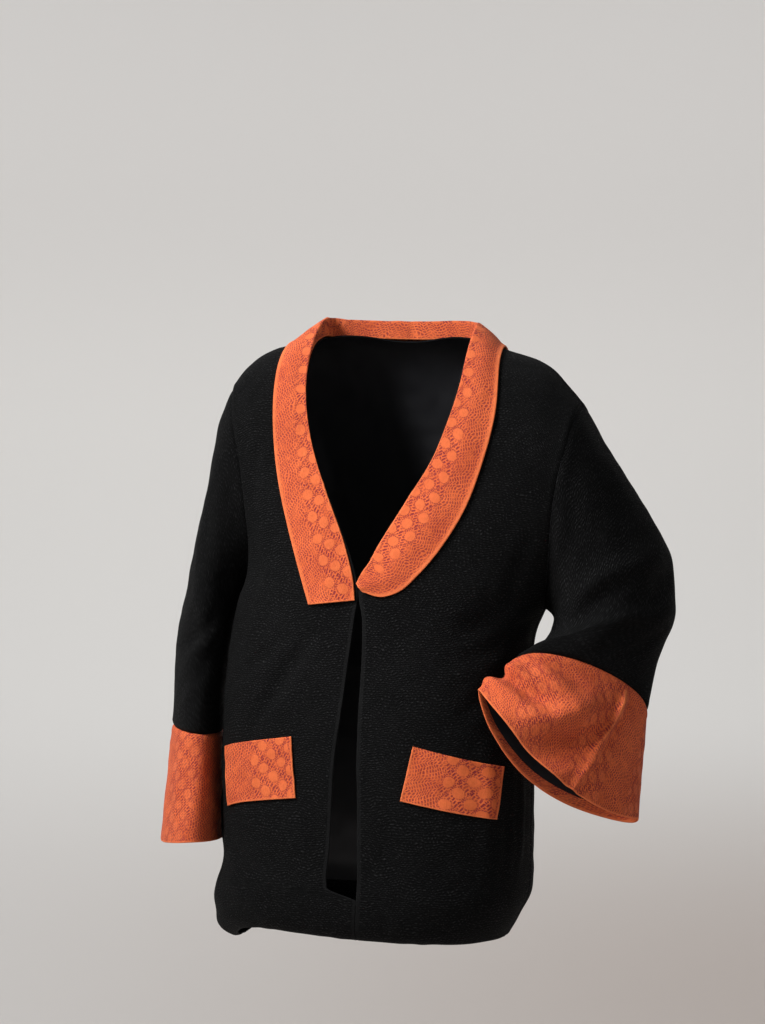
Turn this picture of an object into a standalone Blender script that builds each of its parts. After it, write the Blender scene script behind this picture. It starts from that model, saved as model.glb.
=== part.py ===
"""A kimono jacket as it is worn: hollow, open in front, one sleeve hanging and one bent at the elbow.

Metres, +Z up, the front faces -Y and the wearer's left is +X. The origin is the middle of the neck at the
height of the shoulders. The torso is one smooth form with two directions: across (an angle round the
section, 0 in front or behind and a quarter turn at the side) and along (the way down the cloth from the
top of the shoulder, positive on the front and negative on the back). Every piece is cut from that form,
laid on it, or joined to its armholes.
"""

import math

import bmesh
import bpy
import numpy as np
from mathutils import Matrix, Vector

# Cloth
CLOTH = 0.0024
COLLAR_CLOTH = 0.0028
FLAP_CLOTH = 0.0024
LINING = 0.0010
SEAM_GAP = 0.0003
LAY_GAP = 0.0008

# The wearer leans: the whole garment is turned about the neck, hem towards the right
LEAN = math.radians(2.4)
UNDERARM = 0.43
HEM = 0.915
SQUARENESS = 2.3
NECK_HALF = 0.1125
BACK_NECK_SCOOP = 0.035
RIGHT_SIDE_SAG = 0.037
SAG_STARTS = 0.50
SAG_ENDS = 0.835
SAG_NARROWNESS = 6
SCOOP_FADES = 0.25

# How the pieces meet and turn
FOLD_ENDS = 0.35
ARMHOLE_FADES = 0.45
CUFF_RIM_CURVE = 1.6
SEAM_MITRE = 0.72
ROLL_STARTS = 0.08
ROLL_WIDTH = 1.3
ROLL_CURVE = 1.6
FULL_STAND = 0.02
STAND_INSET = 0.002
COLLAR_CROWN = 0.003
SHARP_ANGLE = math.radians(50)

# How finely the pieces are divided
PANEL_COLUMNS = 9
NECK_COLUMNS = 4
ARMHOLE_ROWS = (0.0, 0.015, 0.035, 0.06, 0.09, 0.125, 0.165, 0.205, 0.245, 0.285, 0.32, 0.355, 0.385,
                0.41, UNDERARM)
BODY_ROWS = (0.46, 0.495, 0.535, 0.58, 0.63, 0.68, 0.73, 0.775, 0.821, 0.834, 0.855, 0.873, 0.886, 0.897,
             0.907, HEM)
SLEEVE_ROWS = 16
CUFF_ROWS = 5
COLLAR_STATIONS = (0.0, 0.04, 0.09, 0.15, 0.21, 0.28, 0.35, 0.42, 0.48, 0.54, 0.595, 0.64, 0.675, 0.705,
                   0.735, 0.765, 0.80, 0.845, 0.895, 0.945, 1.0)
COLLAR_COLUMNS = 6
FLAP_COLUMNS = 8
FLAP_ROWS = 4
ROW_SAMPLES = 72


def table(names, *rows):
    """Turns short rows into named columns; a column may hold numbers or points."""
    return {name: np.array([row[i] for row in rows], dtype=float) for i, name in enumerate(names.split())}


# The torso seen from the side: how far the cloth has dropped and stands out, front and back
PROFILE = table(
    "along drop front back",
    (0.000, 0.000, 0.000, 0.000),
    (0.020, 0.003, 0.020, 0.020),
    (0.045, 0.011, 0.043, 0.043),
    (0.080, 0.031, 0.069, 0.067),
    (0.120, 0.064, 0.091, 0.086),
    (0.170, 0.109, 0.111, 0.101),
    (0.230, 0.167, 0.126, 0.112),
    (0.300, 0.236, 0.138, 0.121),
    (0.370, 0.305, 0.144, 0.127),
    (0.430, 0.365, 0.146, 0.129),
    (0.500, 0.435, 0.148, 0.129),
    (0.600, 0.535, 0.152, 0.132),
    (0.700, 0.635, 0.156, 0.138),
    (0.785, 0.720, 0.160, 0.144),
    (0.820, 0.755, 0.164, 0.148),
    (0.840, 0.775, 0.165, 0.149),
    (0.860, 0.795, 0.162, 0.146),
    (0.876, 0.811, 0.156, 0.140),
    (0.888, 0.821, 0.149, 0.133),
    (0.898, 0.827, 0.141, 0.125),
    (0.907, 0.829, 0.133, 0.117),
    (0.915, 0.827, 0.127, 0.111),
)

# Half widths of the body below the underarm, on the wearer's right and left
WIDTH = table(
    "along right left",
    (0.430, 0.2225, 0.2250),
    (0.455, 0.2280, 0.2135),
    (0.485, 0.2325, 0.2085),
    (0.525, 0.2375, 0.2080),
    (0.585, 0.2405, 0.2105),
    (0.665, 0.2390, 0.2155),
    (0.745, 0.2345, 0.2180),
    (0.785, 0.2310, 0.2190),
    (0.810, 0.2370, 0.2195),
    (0.836, 0.2420, 0.2165),
    (0.860, 0.2390, 0.2060),
    (0.876, 0.2365, 0.1950),
    (0.888, 0.2290, 0.1880),
    (0.898, 0.2190, 0.1830),
    (0.907, 0.2110, 0.1780),
    (0.915, 0.2060, 0.1740),
)

# Top of the shoulder, by share of the way from the neck's middle to the shoulder's tip
RIDGE = table(
    "share right left",
    (0.00, 0.0160, 0.0160),
    (0.40, 0.0120, 0.0110),
    (0.60, 0.0020, -0.0050),
    (0.67, -0.0035, -0.0100),
    (0.75, -0.0080, -0.0170),
    (0.84, -0.0190, -0.0320),
    (0.91, -0.0350, -0.0520),
    (0.96, -0.0530, -0.0660),
    (1.00, -0.0800, -0.0800),
    (1.10, -0.1400, -0.1300),
)

# The armhole: where it lies across, and how much of the torso's depth it reaches
ARMHOLE = table(
    "along right left reach",
    (0.000, 0.2531, 0.2690, 0.92),
    (0.060, 0.2500, 0.2685, 0.90),
    (0.100, 0.2420, 0.2670, 0.86),
    (0.155, 0.2290, 0.2630, 0.80),
    (0.220, 0.2134, 0.2550, 0.71),
    (0.300, 0.2010, 0.2480, 0.60),
    (0.360, 0.2000, 0.2420, 0.43),
    (0.400, 0.2080, 0.2350, 0.25),
    (0.430, 0.2225, 0.2250, 0.00),
)

# Inner edges of the fronts: the neck edge down to the closing point, then the front edge
INNER_EDGE = table(
    "along right left",
    (0.000, 0.1125, 0.1125),
    (0.060, 0.1130, 0.1130),
    (0.100, 0.1120, 0.1120),
    (0.135, 0.1085, 0.1095),
    (0.170, 0.1020, 0.1050),
    (0.210, 0.0905, 0.0965),
    (0.250, 0.0740, 0.0790),
    (0.290, 0.0540, 0.0590),
    (0.330, 0.0340, 0.0370),
    (0.370, 0.0165, 0.0150),
    (0.412, 0.0045, -0.0035),
    (0.450, 0.0075, 0.0030),
    (0.500, 0.0125, 0.0055),
    (0.590, 0.0210, 0.0045),
    (0.645, 0.0262, 0.0055),
    (0.700, 0.0268, 0.0095),
    (0.770, 0.0270, 0.0135),
    (0.815, 0.0268, 0.0165),
    (0.822, 0.0250, 0.0166),
    (0.834, -0.0142, 0.0168),
    (0.842, -0.0155, 0.0168),
    (0.880, -0.0128, 0.0140),
    (0.915, -0.0098, 0.0110),
)

# Sleeves: the outer and inner point of each ring, the way its front faces, and half its depth
SLEEVE = {
    "right": table(
        "along outer inner face half",
        (0.00, (-0.2531, 0.000, -0.080), (-0.2225, 0.000, -0.365), (0.0, -1.0, 0.0), 0.087),
        (0.10, (-0.2690, 0.003, -0.120), (-0.2260, 0.002, -0.3685), (0.00, -1.0, 0.0), 0.088),
        (0.28, (-0.2840, 0.006, -0.210), (-0.2300, 0.004, -0.377), (0.06, -1.0, 0.0), 0.091),
        (0.46, (-0.3060, 0.008, -0.310), (-0.2340, 0.005, -0.393), (0.18, -1.0, 0.0), 0.096),
        (0.62, (-0.3210, 0.009, -0.382), (-0.2400, 0.005, -0.420), (0.26, -1.0, 0.0), 0.098),
        (0.78, (-0.3310, 0.008, -0.452), (-0.2460, 0.004, -0.466), (0.32, -1.0, 0.0), 0.098),
        (0.90, (-0.3290, 0.006, -0.512), (-0.2495, 0.002, -0.518), (0.32, -1.0, 0.0), 0.098),
        (1.00, (-0.3285, 0.005, -0.567), (-0.2490, 0.000, -0.569), (0.32, -1.0, 0.0), 0.098),
    ),
    "left": table(
        "along outer inner face half",
        (0.00, (0.269, 0.000, -0.080), (0.225, 0.000, -0.365), (0.00, -1.0, 0.00), 0.087),
        (0.09, (0.286, 0.012, -0.122), (0.231, -0.004, -0.368), (0.00, -1.0, 0.00), 0.088),
        (0.27, (0.336, 0.050, -0.210), (0.239, -0.007, -0.377), (0.10, -1.0, 0.05), 0.090),
        (0.45, (0.382, 0.084, -0.295), (0.240, -0.019, -0.389), (0.26, -1.0, 0.12), 0.090),
        (0.545, (0.392, 0.090, -0.336), (0.240, -0.029, -0.396), (0.32, -1.0, 0.17), 0.087),
        (0.64, (0.394, 0.082, -0.373), (0.238, -0.041, -0.403), (0.38, -1.0, 0.25), 0.083),
        (0.82, (0.380, 0.047, -0.431), (0.226, -0.071, -0.419), (0.25, -1.0, 0.55), 0.072),
        (1.00, (0.373, 0.017, -0.496), (0.209, -0.108, -0.440), (0.05, -0.743, 0.67), 0.061),
    ),
}

# Cuff openings: outer and inner point, the way to the front of the rim, and how far its middles reach on
CUFF = {
    "right": {
        "outer": Vector((-0.3370, 0.000, -0.735)),
        "inner": Vector((-0.2430, 0.000, -0.724)),
        "face": Vector((0.042, -0.131, 0.0)),
        "reach_on": Vector((0.0, 0.0, 0.012)),
        "behind": 1.5,
        "flare": 1.0,
    },
    "left": {
        "outer": Vector((0.369, 0.003, -0.651)),
        "inner": Vector((0.173, -0.151, -0.472)),
        "face": Vector((0.0095, -0.0385, 0.0255)),
        "reach_on": Vector((0.0015, -0.0265, -0.039)),
        "behind": 0.72,
        "flare": 1.15,
    },
}

# Inside the open cuff, by shares of its length: the facing band from near the rim, then the lining
FACING_RINGS = (0.895, 0.945, 0.995)
LINING_RINGS = (0.135, 0.35, 0.6, 0.887)

# The collar from the closing point to the middle of the back neck: its foot and outer edge on the torso,
# how high it stands at the neck before it rolls over, and how loosely it lies on the panels
COLLAR = {
    "right": table(
        "along foot_across foot_along edge_across edge_along rise loose",
        (0.00, 0.0055, 0.425, 0.0765, 0.435, 0.000, 0.0000),
        (0.07, 0.0110, 0.393, 0.0920, 0.395, 0.000, 0.0000),
        (0.14, 0.0260, 0.352, 0.1065, 0.355, 0.000, 0.0000),
        (0.28, 0.0610, 0.278, 0.1365, 0.262, 0.001, 0.0000),
        (0.42, 0.0905, 0.207, 0.1515, 0.183, 0.002, 0.0002),
        (0.54, 0.1075, 0.135, 0.1590, 0.108, 0.003, 0.0008),
        (0.66, 0.1120, 0.062, 0.1590, 0.040, 0.009, 0.0016),
        (0.74, 0.1120, 0.012, 0.1580, -0.020, 0.022, 0.0018),
        (0.80, 0.1080, -0.014, 0.1520, -0.062, 0.026, 0.0018),
        (0.87, 0.0850, -0.028, 0.1200, -0.098, 0.026, 0.0016),
        (1.00, 0.0000, -0.036, 0.0000, -0.116, 0.026, 0.0014),
    ),
    "left": table(
        "along foot_across foot_along edge_across edge_along rise loose",
        (0.00, -0.0045, 0.400, 0.0040, 0.412, 0.000, 0.0000),
        (0.04, 0.0020, 0.386, 0.0290, 0.4185, 0.000, 0.0000),
        (0.08, 0.0100, 0.374, 0.0530, 0.412, 0.000, 0.0000),
        (0.14, 0.0210, 0.352, 0.0800, 0.387, 0.000, 0.0000),
        (0.28, 0.0590, 0.287, 0.1300, 0.312, 0.001, 0.0000),
        (0.42, 0.0930, 0.220, 0.1560, 0.232, 0.002, 0.0002),
        (0.54, 0.1125, 0.140, 0.1680, 0.150, 0.003, 0.0008),
        (0.66, 0.1145, 0.062, 0.1660, 0.060, 0.009, 0.0016),
        (0.74, 0.1125, 0.012, 0.1620, -0.012, 0.020, 0.0018),
        (0.80, 0.1080, -0.014, 0.1550, -0.060, 0.024, 0.0018),
        (0.87, 0.0850, -0.028, 0.1200, -0.098, 0.026, 0.0016),
        (1.00, 0.0000, -0.036, 0.0000, -0.116, 0.026, 0.0014),
    ),
}

# Pocket flaps: their four corners on the torso, across and along
FLAP = {
    "right": {"top_outer": (0.205, 0.640), "top_inner": (0.086, 0.615),
              "low_inner": (0.073, 0.700), "low_outer": (0.196, 0.722)},
    "left": {"top_outer": (0.190, 0.640), "top_inner": (0.083, 0.620),
             "low_inner": (0.070, 0.695), "low_outer": (0.180, 0.717)},
}

# The largest folds: a line in space, how deep the cloth sinks along it (negative stands out), how wide
FOLDS = {
    "sleeve_left": (
        ((0.392, 0.030, -0.318), (0.262, -0.075, -0.405), 0.017, 0.024),
        ((0.385, 0.020, -0.275), (0.270, -0.080, -0.345), -0.006, 0.026),
        ((0.300, 0.100, -0.300), (0.250, 0.060, -0.390), 0.010, 0.024),
    ),
    "sleeve_right": (
        ((-0.315, -0.070, -0.455), (-0.255, -0.095, -0.400), 0.008, 0.018),
        ((-0.315, 0.080, -0.430), (-0.255, 0.100, -0.370), 0.007, 0.020),
    ),
    "front_right": (
        ((-0.075, -0.150, -0.410), (-0.165, -0.130, -0.560), 0.004, 0.016),
    ),
    "front_left": (
        ((0.180, -0.100, -0.560), (0.185, -0.105, -0.720), -0.005, 0.014),
        ((0.205, -0.060, -0.330), (0.120, -0.130, -0.420), 0.005, 0.020),
    ),
    "back": (
        ((-0.160, 0.090, -0.250), (-0.110, 0.135, -0.700), -0.006, 0.028),
        ((0.150, 0.090, -0.260), (0.115, 0.135, -0.640), -0.007, 0.030),
        ((0.020, 0.130, -0.420), (0.010, 0.140, -0.760), 0.005, 0.026),
    ),
}

COLOURS = {
    "crepe": ((0.012, 0.012, 0.013, 1.0), 0.85),
    "orange": ((0.72, 0.17, 0.045, 1.0), 0.75),
    "lining": ((0.010, 0.010, 0.012, 1.0), 0.45),
}


def smooth(columns, key, name, value):
    """Reads a column at a value of the key column, on a smooth curve through its rows."""
    keys = columns[key]
    data = columns[name]
    value = min(max(value, keys[0]), keys[-1])
    i = int(min(max(np.searchsorted(keys, value) - 1, 0), len(keys) - 2))
    span = keys[i + 1] - keys[i]
    t = (value - keys[i]) / span

    def slope(k):
        if k == 0:
            return (data[1] - data[0]) / (keys[1] - keys[0])
        if k == len(keys) - 1:
            return (data[-1] - data[-2]) / (keys[-1] - keys[-2])
        before = (data[k] - data[k - 1]) / (keys[k] - keys[k - 1])
        after = (data[k + 1] - data[k]) / (keys[k + 1] - keys[k])
        near = keys[k + 1] - keys[k]
        far = keys[k] - keys[k - 1]
        return (before * near + after * far) / (near + far)

    a = 2 * t**3 - 3 * t**2 + 1
    b = t**3 - 2 * t**2 + t
    c = -2 * t**3 + 3 * t**2
    d = t**3 - t**2
    out = a * data[i] + b * span * slope(i) + c * data[i + 1] + d * span * slope(i + 1)
    return float(out) if np.ndim(out) == 0 else Vector(out)


def ease(t):
    """Goes smoothly from 0 to 1."""
    t = min(max(t, 0.0), 1.0)
    return t * t * (3 - 2 * t)


def side_sign(side):
    return 1.0 if side == "left" else -1.0


def depth(along):
    """How far the torso stands in front of (negative) or behind the shoulder line."""
    if along > 0:
        return -smooth(PROFILE, "along", "front", along)
    return smooth(PROFILE, "along", "back", -along)


def half_width(side, along):
    """Half width of the torso's section; above the underarm it is found from the armhole."""
    down = abs(along)
    if down >= UNDERARM:
        return smooth(WIDTH, "along", side, down)
    across = smooth(ARMHOLE, "along", side, down)
    reach = max(smooth(ARMHOLE, "along", "reach", down), 0.0)
    return across / (1 - reach**SQUARENESS) ** (1 / SQUARENESS)


def end_angle(side, along):
    """The angle at which a panel ends: the armhole, or the side seam below the underarm."""
    down = abs(along)
    if down >= UNDERARM:
        return math.pi / 2
    return angle_at(side, smooth(ARMHOLE, "along", side, down), along)


def angle_at(side, across, along):
    """The angle round the section that lies this far across."""
    share = min(abs(across) / half_width(side, along), 1.0)
    return math.copysign(math.asin(share ** (SQUARENESS / 2)), across)


def torso(side, angle, along):
    """A point of the torso form."""
    power = 2 / SQUARENESS
    sine = math.sin(angle)
    out = math.copysign(abs(sine) ** power, sine) * half_width(side, along)
    y = depth(along) * max(math.cos(angle), 0.0) ** power
    down = abs(along)
    tip = smooth(ARMHOLE, "along", side, 0.0)
    ridge = smooth(RIDGE, "share", side, abs(out) / tip)
    fade = 1 - ease(down / UNDERARM) if down < UNDERARM else 0.0
    sag = RIGHT_SIDE_SAG * ease((down - SAG_STARTS) / (SAG_ENDS - SAG_STARTS)) * abs(sine) ** SAG_NARROWNESS
    z = -smooth(PROFILE, "along", "drop", down) + ridge * fade - (sag if side == "right" else 0.0)
    return Vector((side_sign(side) * out, y, z))


def torso_normal(side, angle, along):
    """The outward direction of the torso form."""
    step, turn = 0.004, 0.01
    last = math.pi / 2 - 3 * turn
    low = min(angle, last)
    if abs(low) < 2 * turn:
        low = 2 * turn
    round_it = torso(side, low + turn, along) - torso(side, low - turn, along)
    if angle > last:
        round_it.x = 0.0
        round_it.z = 0.0
    down = torso(side, angle, along + step) - torso(side, angle, along - step)
    normal = down.cross(round_it) * side_sign(side)
    return normal.normalized()


def torso_across(side, across, along):
    """A point of the torso form and its outward direction, by its distance across."""
    angle = angle_at(side, across, along)
    return torso(side, angle, along), torso_normal(side, angle, along)


def even_row(points_at, count, trim_start, trim_end):
    """Parameters that divide a curve into even lengths, a little inside its two ends."""
    samples = [points_at(k / ROW_SAMPLES) for k in range(ROW_SAMPLES + 1)]
    lengths = np.concatenate([[0.0], np.cumsum([(b - a).length for a, b in zip(samples, samples[1:])])])
    wanted = np.linspace(trim_start, lengths[-1] - trim_end, count + 1)
    return [float(t) for t in np.interp(wanted, lengths, np.linspace(0, 1, ROW_SAMPLES + 1))]


def folded(name, point, normal):
    """Moves a point in or out along the piece's largest folds."""
    moved = point.copy()
    for start, end, deep, wide in FOLDS.get(name, ()):
        a = Vector(start)
        line = Vector(end) - a
        t = (point - a).dot(line) / line.length_squared
        inside = min(max(t, 0.0), 1.0)
        away = (point - a - line * inside).length
        fade = math.exp(-((away / wide) ** 2)) * (FOLD_ENDS + (1 - FOLD_ENDS) * math.sin(math.pi * inside))
        moved -= normal * deep * fade
    return moved


def side_trim(along):
    """Half the seam's gap where a row ends at the side seam."""
    return SEAM_GAP / 2 if abs(along) >= UNDERARM else 0.0


def panel_rows():
    return list(ARMHOLE_ROWS) + list(BODY_ROWS)


def front_grid(side):
    """Points and outward directions of one front, by rows down and columns outwards."""
    name = "front_" + side
    points, normals = [], []
    for along in panel_rows():
        along = max(along, SEAM_GAP / 2)
        first = angle_at(side, smooth(INNER_EDGE, "along", side, along), along)
        last = end_angle(side, along)
        row = lambda t: torso(side, first + (last - first) * t, along)
        cuts = even_row(row, PANEL_COLUMNS, 0.0, side_trim(along))
        angles = [first + (last - first) * t for t in cuts]
        normals.append([torso_normal(side, a, along) for a in angles])
        points.append([torso(side, a, along) for a in angles])
        for c in range(PANEL_COLUMNS):
            points[-1][c] = folded(name, points[-1][c], normals[-1][c])
    return points, normals


def back_grid():
    """Points and outward directions of the back, from the wearer's right to the left."""
    points, normals = [], []
    for down in panel_rows():
        row_points, row_normals = [], []
        for side, span, count in (("right", "shoulder", PANEL_COLUMNS), ("right", "neck", NECK_COLUMNS),
                                  ("left", "neck", NECK_COLUMNS), ("left", "shoulder", PANEL_COLUMNS)):
            neck = NECK_HALF
            start = -max(down, SEAM_GAP / 2)
            near, far = angle_at(side, neck, start), end_angle(side, start)
            if span == "shoulder":
                place = lambda t: (near + (far - near) * t, start)
                cuts = even_row(lambda t: torso(side, *place(t)), count, 0.0, side_trim(start))
            else:
                def place(t):
                    across = neck * t
                    scoop = BACK_NECK_SCOOP * 0.5 * (1 + math.cos(math.pi * t))
                    along = start - scoop * (1 - ease(down / SCOOP_FADES))
                    return angle_at(side, across, along), along
                cuts = even_row(lambda t: torso(side, *place(t)), count, 0.0, 0.0)
            spots = [place(t) for t in cuts]
            if side == "right":
                spots.reverse()
            for angle, along in spots[(1 if row_points else 0):]:
                row_points.append(torso(side, angle, along))
                row_normals.append(torso_normal(side, angle, along))
        for c in range(1, len(row_points) - 1):
            row_points[c] = folded("back", row_points[c], row_normals[c])
        points.append(row_points)
        normals.append(row_normals)
    return points, normals


def armhole_loop(side):
    """The armhole from the shoulder's tip down the front to the underarm and up the back."""
    alongs = list(ARMHOLE_ROWS) + [-a for a in reversed(ARMHOLE_ROWS[1:-1])]
    spots = [(end_angle(side, a), a) for a in alongs]
    return [torso(side, *s) for s in spots], [torso_normal(side, *s) for s in spots]


def ring_frame(side, share):
    """Middle, half length vector and half depth vector of a sleeve ring."""
    columns = SLEEVE[side]
    outer = smooth(columns, "along", "outer", share)
    inner = smooth(columns, "along", "inner", share)
    face = smooth(columns, "along", "face", share).normalized() * smooth(columns, "along", "half", share)
    return (outer + inner) / 2, (outer - inner) / 2, face


def loop_turns(points):
    """The turn at each point of a closed loop, by its length from the first point."""
    steps = [(b - a).length for a, b in zip(points, points[1:] + points[:1])]
    total = sum(steps)
    return [2 * math.pi * sum(steps[:k]) / total for k in range(len(points))]


def sleeve_grid(side):
    """Rings of the sleeve from the armhole to the cuff seam."""
    loop, _ = armhole_loop(side)
    turns = loop_turns(loop)
    middle, long_half, face = ring_frame(side, 0.0)
    way = long_half.cross(face).normalized()
    own = []
    for point in loop:
        rel = point - middle
        own.append((rel.dot(long_half) / long_half.length_squared, rel.dot(face) / face.length_squared,
                    rel.dot(way)))
    rings = []
    for k in range(SLEEVE_ROWS + 1):
        share = k / SLEEVE_ROWS
        middle, long_half, face = ring_frame(side, share)
        way = long_half.cross(face).normalized()
        mix = ease(share / ARMHOLE_FADES)
        ring = []
        for turn, (a, b, c) in zip(turns, own):
            a += (math.cos(turn) - a) * mix
            b += (math.sin(turn) - b) * mix
            ring.append(middle + long_half * a + face * b + way * c * (1 - mix))
        rings.append(ring)
    return rings


def cuff_grid(side, seam_ring, rows=CUFF_ROWS):
    """Rings of the cuff, from its seam to its flared opening."""
    turns = loop_turns(seam_ring)
    spec = CUFF[side]
    middle = (spec["outer"] + spec["inner"]) / 2
    long_half = (spec["outer"] - spec["inner"]) / 2
    rim = []
    for turn in turns:
        on = abs(math.sin(turn)) ** CUFF_RIM_CURVE * (1.0 if turn < math.pi else spec["behind"])
        swing = long_half * math.cos(turn) + spec["face"] * math.sin(turn)
        rim.append(middle + swing + spec["reach_on"] * on)
    rings = []
    for k in range(rows + 1):
        t = (k / rows) ** spec["flare"]
        rings.append([a.lerp(b, t) for a, b in zip(seam_ring, rim)])
    return rings


def grid_normals(points, closed):
    """Outward directions of a grid whose rows run down and whose columns run to the wearer's left."""
    count, wide = len(points), len(points[0])

    def direction(before, here, after):
        return (here - before).normalized() + (after - here).normalized()

    normals = []
    for r in range(count):
        row = []
        for c in range(wide):
            here = points[r][c]
            down = direction(points[max(r - 1, 0)][c], here, points[min(r + 1, count - 1)][c])
            right = points[r][(c + 1) % wide] if closed or c + 1 < wide else here
            left = points[r][c - 1] if closed or c else here
            row.append(down.cross(direction(left, here, right)).normalized())
        normals.append(row)
    return normals


def moved(points, normals, distance):
    return [[p + n * distance for p, n in zip(row, dirs)] for row, dirs in zip(points, normals)]


def seam_shifts(ring, ways, next_ring):
    """Half the seam's gap, square to the seam and through the cloth, towards the next ring."""
    shifts = []
    for k, (point, way, next_point) in enumerate(zip(ring, ways, next_ring)):
        along_seam = ring[(k + 1) % len(ring)] - ring[k - 1]
        off = along_seam.cross(way).normalized() * (SEAM_GAP / 2)
        shifts.append(off if off.dot(next_point - point) > 0 else -off)
    return shifts


def seam_direction(a, b):
    """The shared way through the cloth where two pieces meet, long enough to keep the thickness."""
    middle = (a + b).normalized()
    return middle / max(middle.dot(a), SEAM_MITRE)


def material(slot):
    """One plain material for each kind of cloth."""
    found = bpy.data.materials.get(slot)
    if found:
        return found
    colour, rough = COLOURS[slot]
    made = bpy.data.materials.new(slot)
    made.use_nodes = True
    shader = made.node_tree.nodes["Principled BSDF"]
    shader.inputs["Base Color"].default_value = colour
    shader.inputs["Roughness"].default_value = rough
    shader.inputs["Metallic"].default_value = 0.0
    made.diffuse_color = colour
    return made


def split_rims(bm, raised):
    """Divides the faces of the rims the same way on both sides of a seam."""
    slant = Vector((2.0, 3.0, 5.0))
    for face in bm.faces[:]:
        high = sorted((v for v in face.verts if v in raised), key=lambda v: v.co.dot(slant))
        low = sorted((v for v in face.verts if v not in raised), key=lambda v: v.co.dot(slant))
        if len(high) == 2 and len(low) == 2:
            end = next(e.other_vert(high[1]) for e in high[1].link_edges if e.other_vert(high[1]) in low)
            other = low[0] if end is low[1] else low[1]
            bmesh.utils.face_split(face, high[1], other)


def wall(name, slot, outer, inner, closed=False):
    """A closed wall of cloth between two grids of points: a flat grid, extruded once, then shaped."""
    rows, columns = len(outer), len(outer[0])
    bm = bmesh.new()
    row_of = bm.verts.layers.int.new("row")
    column_of = bm.verts.layers.int.new("column")
    across = columns if closed else columns - 1
    bmesh.ops.create_grid(bm, x_segments=across, y_segments=rows - 1, size=1.0)
    bm.verts.ensure_lookup_table()
    for k, vert in enumerate(bm.verts):
        vert[row_of], vert[column_of] = divmod(k, across + 1)
    if closed:
        for vert in bm.verts:
            vert[column_of] %= columns
            turn = 2 * math.pi * vert[column_of] / columns
            vert.co = (math.cos(turn), math.sin(turn), vert[row_of])
        bmesh.ops.remove_doubles(bm, verts=bm.verts[:], dist=1e-5)
    made = bmesh.ops.extrude_face_region(bm, geom=bm.faces[:])
    raised = {item for item in made["geom"] if isinstance(item, bmesh.types.BMVert)}
    for vert in bm.verts:
        grid = outer if vert in raised else inner
        vert.co = LEANING @ grid[vert[row_of]][vert[column_of]]
    split_rims(bm, raised)
    bmesh.ops.recalc_face_normals(bm, faces=bm.faces[:])
    if bm.calc_volume(signed=True) < 0:
        bmesh.ops.reverse_faces(bm, faces=bm.faces[:])
    mesh = bpy.data.meshes.new(name)
    bm.to_mesh(mesh)
    bm.free()
    mesh.shade_smooth()
    mesh.set_sharp_from_angle(angle=SHARP_ANGLE)
    mesh.materials.append(material(slot))
    made_object = bpy.data.objects.new(name, mesh)
    jacket.objects.link(made_object)
    return made_object


def make_panels(seams):
    """The two fronts and the back, whose armhole edges share their direction with the sleeves."""
    last = len(ARMHOLE_ROWS) - 1
    for side in ("right", "left"):
        points, normals = front_grid(side)
        ways, shifts = seams[side]
        for r in range(last + 1):
            normals[r][-1] = ways[r]
            points[r][-1] -= shifts[r]
        wall("front_" + side, "crepe", points, moved(points, normals, -CLOTH))
    points, normals = back_grid()
    for side, column in (("right", 0), ("left", -1)):
        ways, shifts = seams[side]
        for r in range(last + 1):
            normals[r][column] = ways[-r]
            points[r][column] -= shifts[-r]
    wall("back", "crepe", points, moved(points, normals, -CLOTH))


def make_sleeve(side):
    """A sleeve and its cuff. Returns the way through the cloth and the gap round the armhole."""
    loop, loop_normals = armhole_loop(side)
    rings = sleeve_grid(side)
    turned = -side_sign(side)
    normals = [[n * turned for n in row] for row in grid_normals(rings, True)]
    rims = [seam_direction(a, b) for a, b in zip(loop_normals, normals[0])]
    cuff = cuff_grid(side, rings[-1])
    cuff_normals = [[n * turned for n in row] for row in grid_normals(cuff, True)]
    seam = [seam_direction(a, b) for a, b in zip(normals[-1], cuff_normals[0])]
    normals[0] = rims
    normals[-1] = seam
    cuff_normals[0] = seam
    name = "sleeve_" + side
    shaped = [[folded(name, p, n) for p, n in zip(ring, dirs)] for ring, dirs in zip(rings, normals)]
    armhole_shifts = seam_shifts(rings[0], rims, rings[1])
    cuff_shifts = seam_shifts(cuff[0], seam, cuff[1])
    shaped[0] = [p + d for p, d in zip(rings[0], armhole_shifts)]
    shaped[-1] = [p - d for p, d in zip(rings[-1], cuff_shifts)]
    wall(name, "crepe", shaped, moved(shaped, normals, -CLOTH), closed=True)
    cuff_shaped = [list(ring) for ring in cuff]
    cuff_shaped[0] = [p + d for p, d in zip(cuff[0], cuff_shifts)]
    wall("cuff_" + side, "orange", cuff_shaped, moved(cuff_shaped, cuff_normals, -CLOTH), closed=True)
    if side == "left":
        make_cuff_inside(cuff_shaped, cuff_normals)
    return rims, armhole_shifts


def make_cuff_inside(cuff, normals):
    """The facing band and the lining that show inside the open cuff."""
    def ring_at(share):
        place = share * (len(cuff) - 1)
        k = min(int(place), len(cuff) - 2)
        t = place - k
        points = [a.lerp(b, t) for a, b in zip(cuff[k], cuff[k + 1])]
        ways = [a.lerp(b, t).normalized() for a, b in zip(normals[k], normals[k + 1])]
        return points, ways

    for name, slot, shares in (
        ("cuff_facing_left", "orange", FACING_RINGS),
        ("cuff_lining_left", "lining", LINING_RINGS),
    ):
        rings = [ring_at(share) for share in shares]
        points = [ring[0] for ring in rings]
        ways = [ring[1] for ring in rings]
        start = CLOTH + 2 * SEAM_GAP
        wall(name, slot, moved(points, ways, -start), moved(points, ways, -start - LINING), closed=True)


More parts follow.
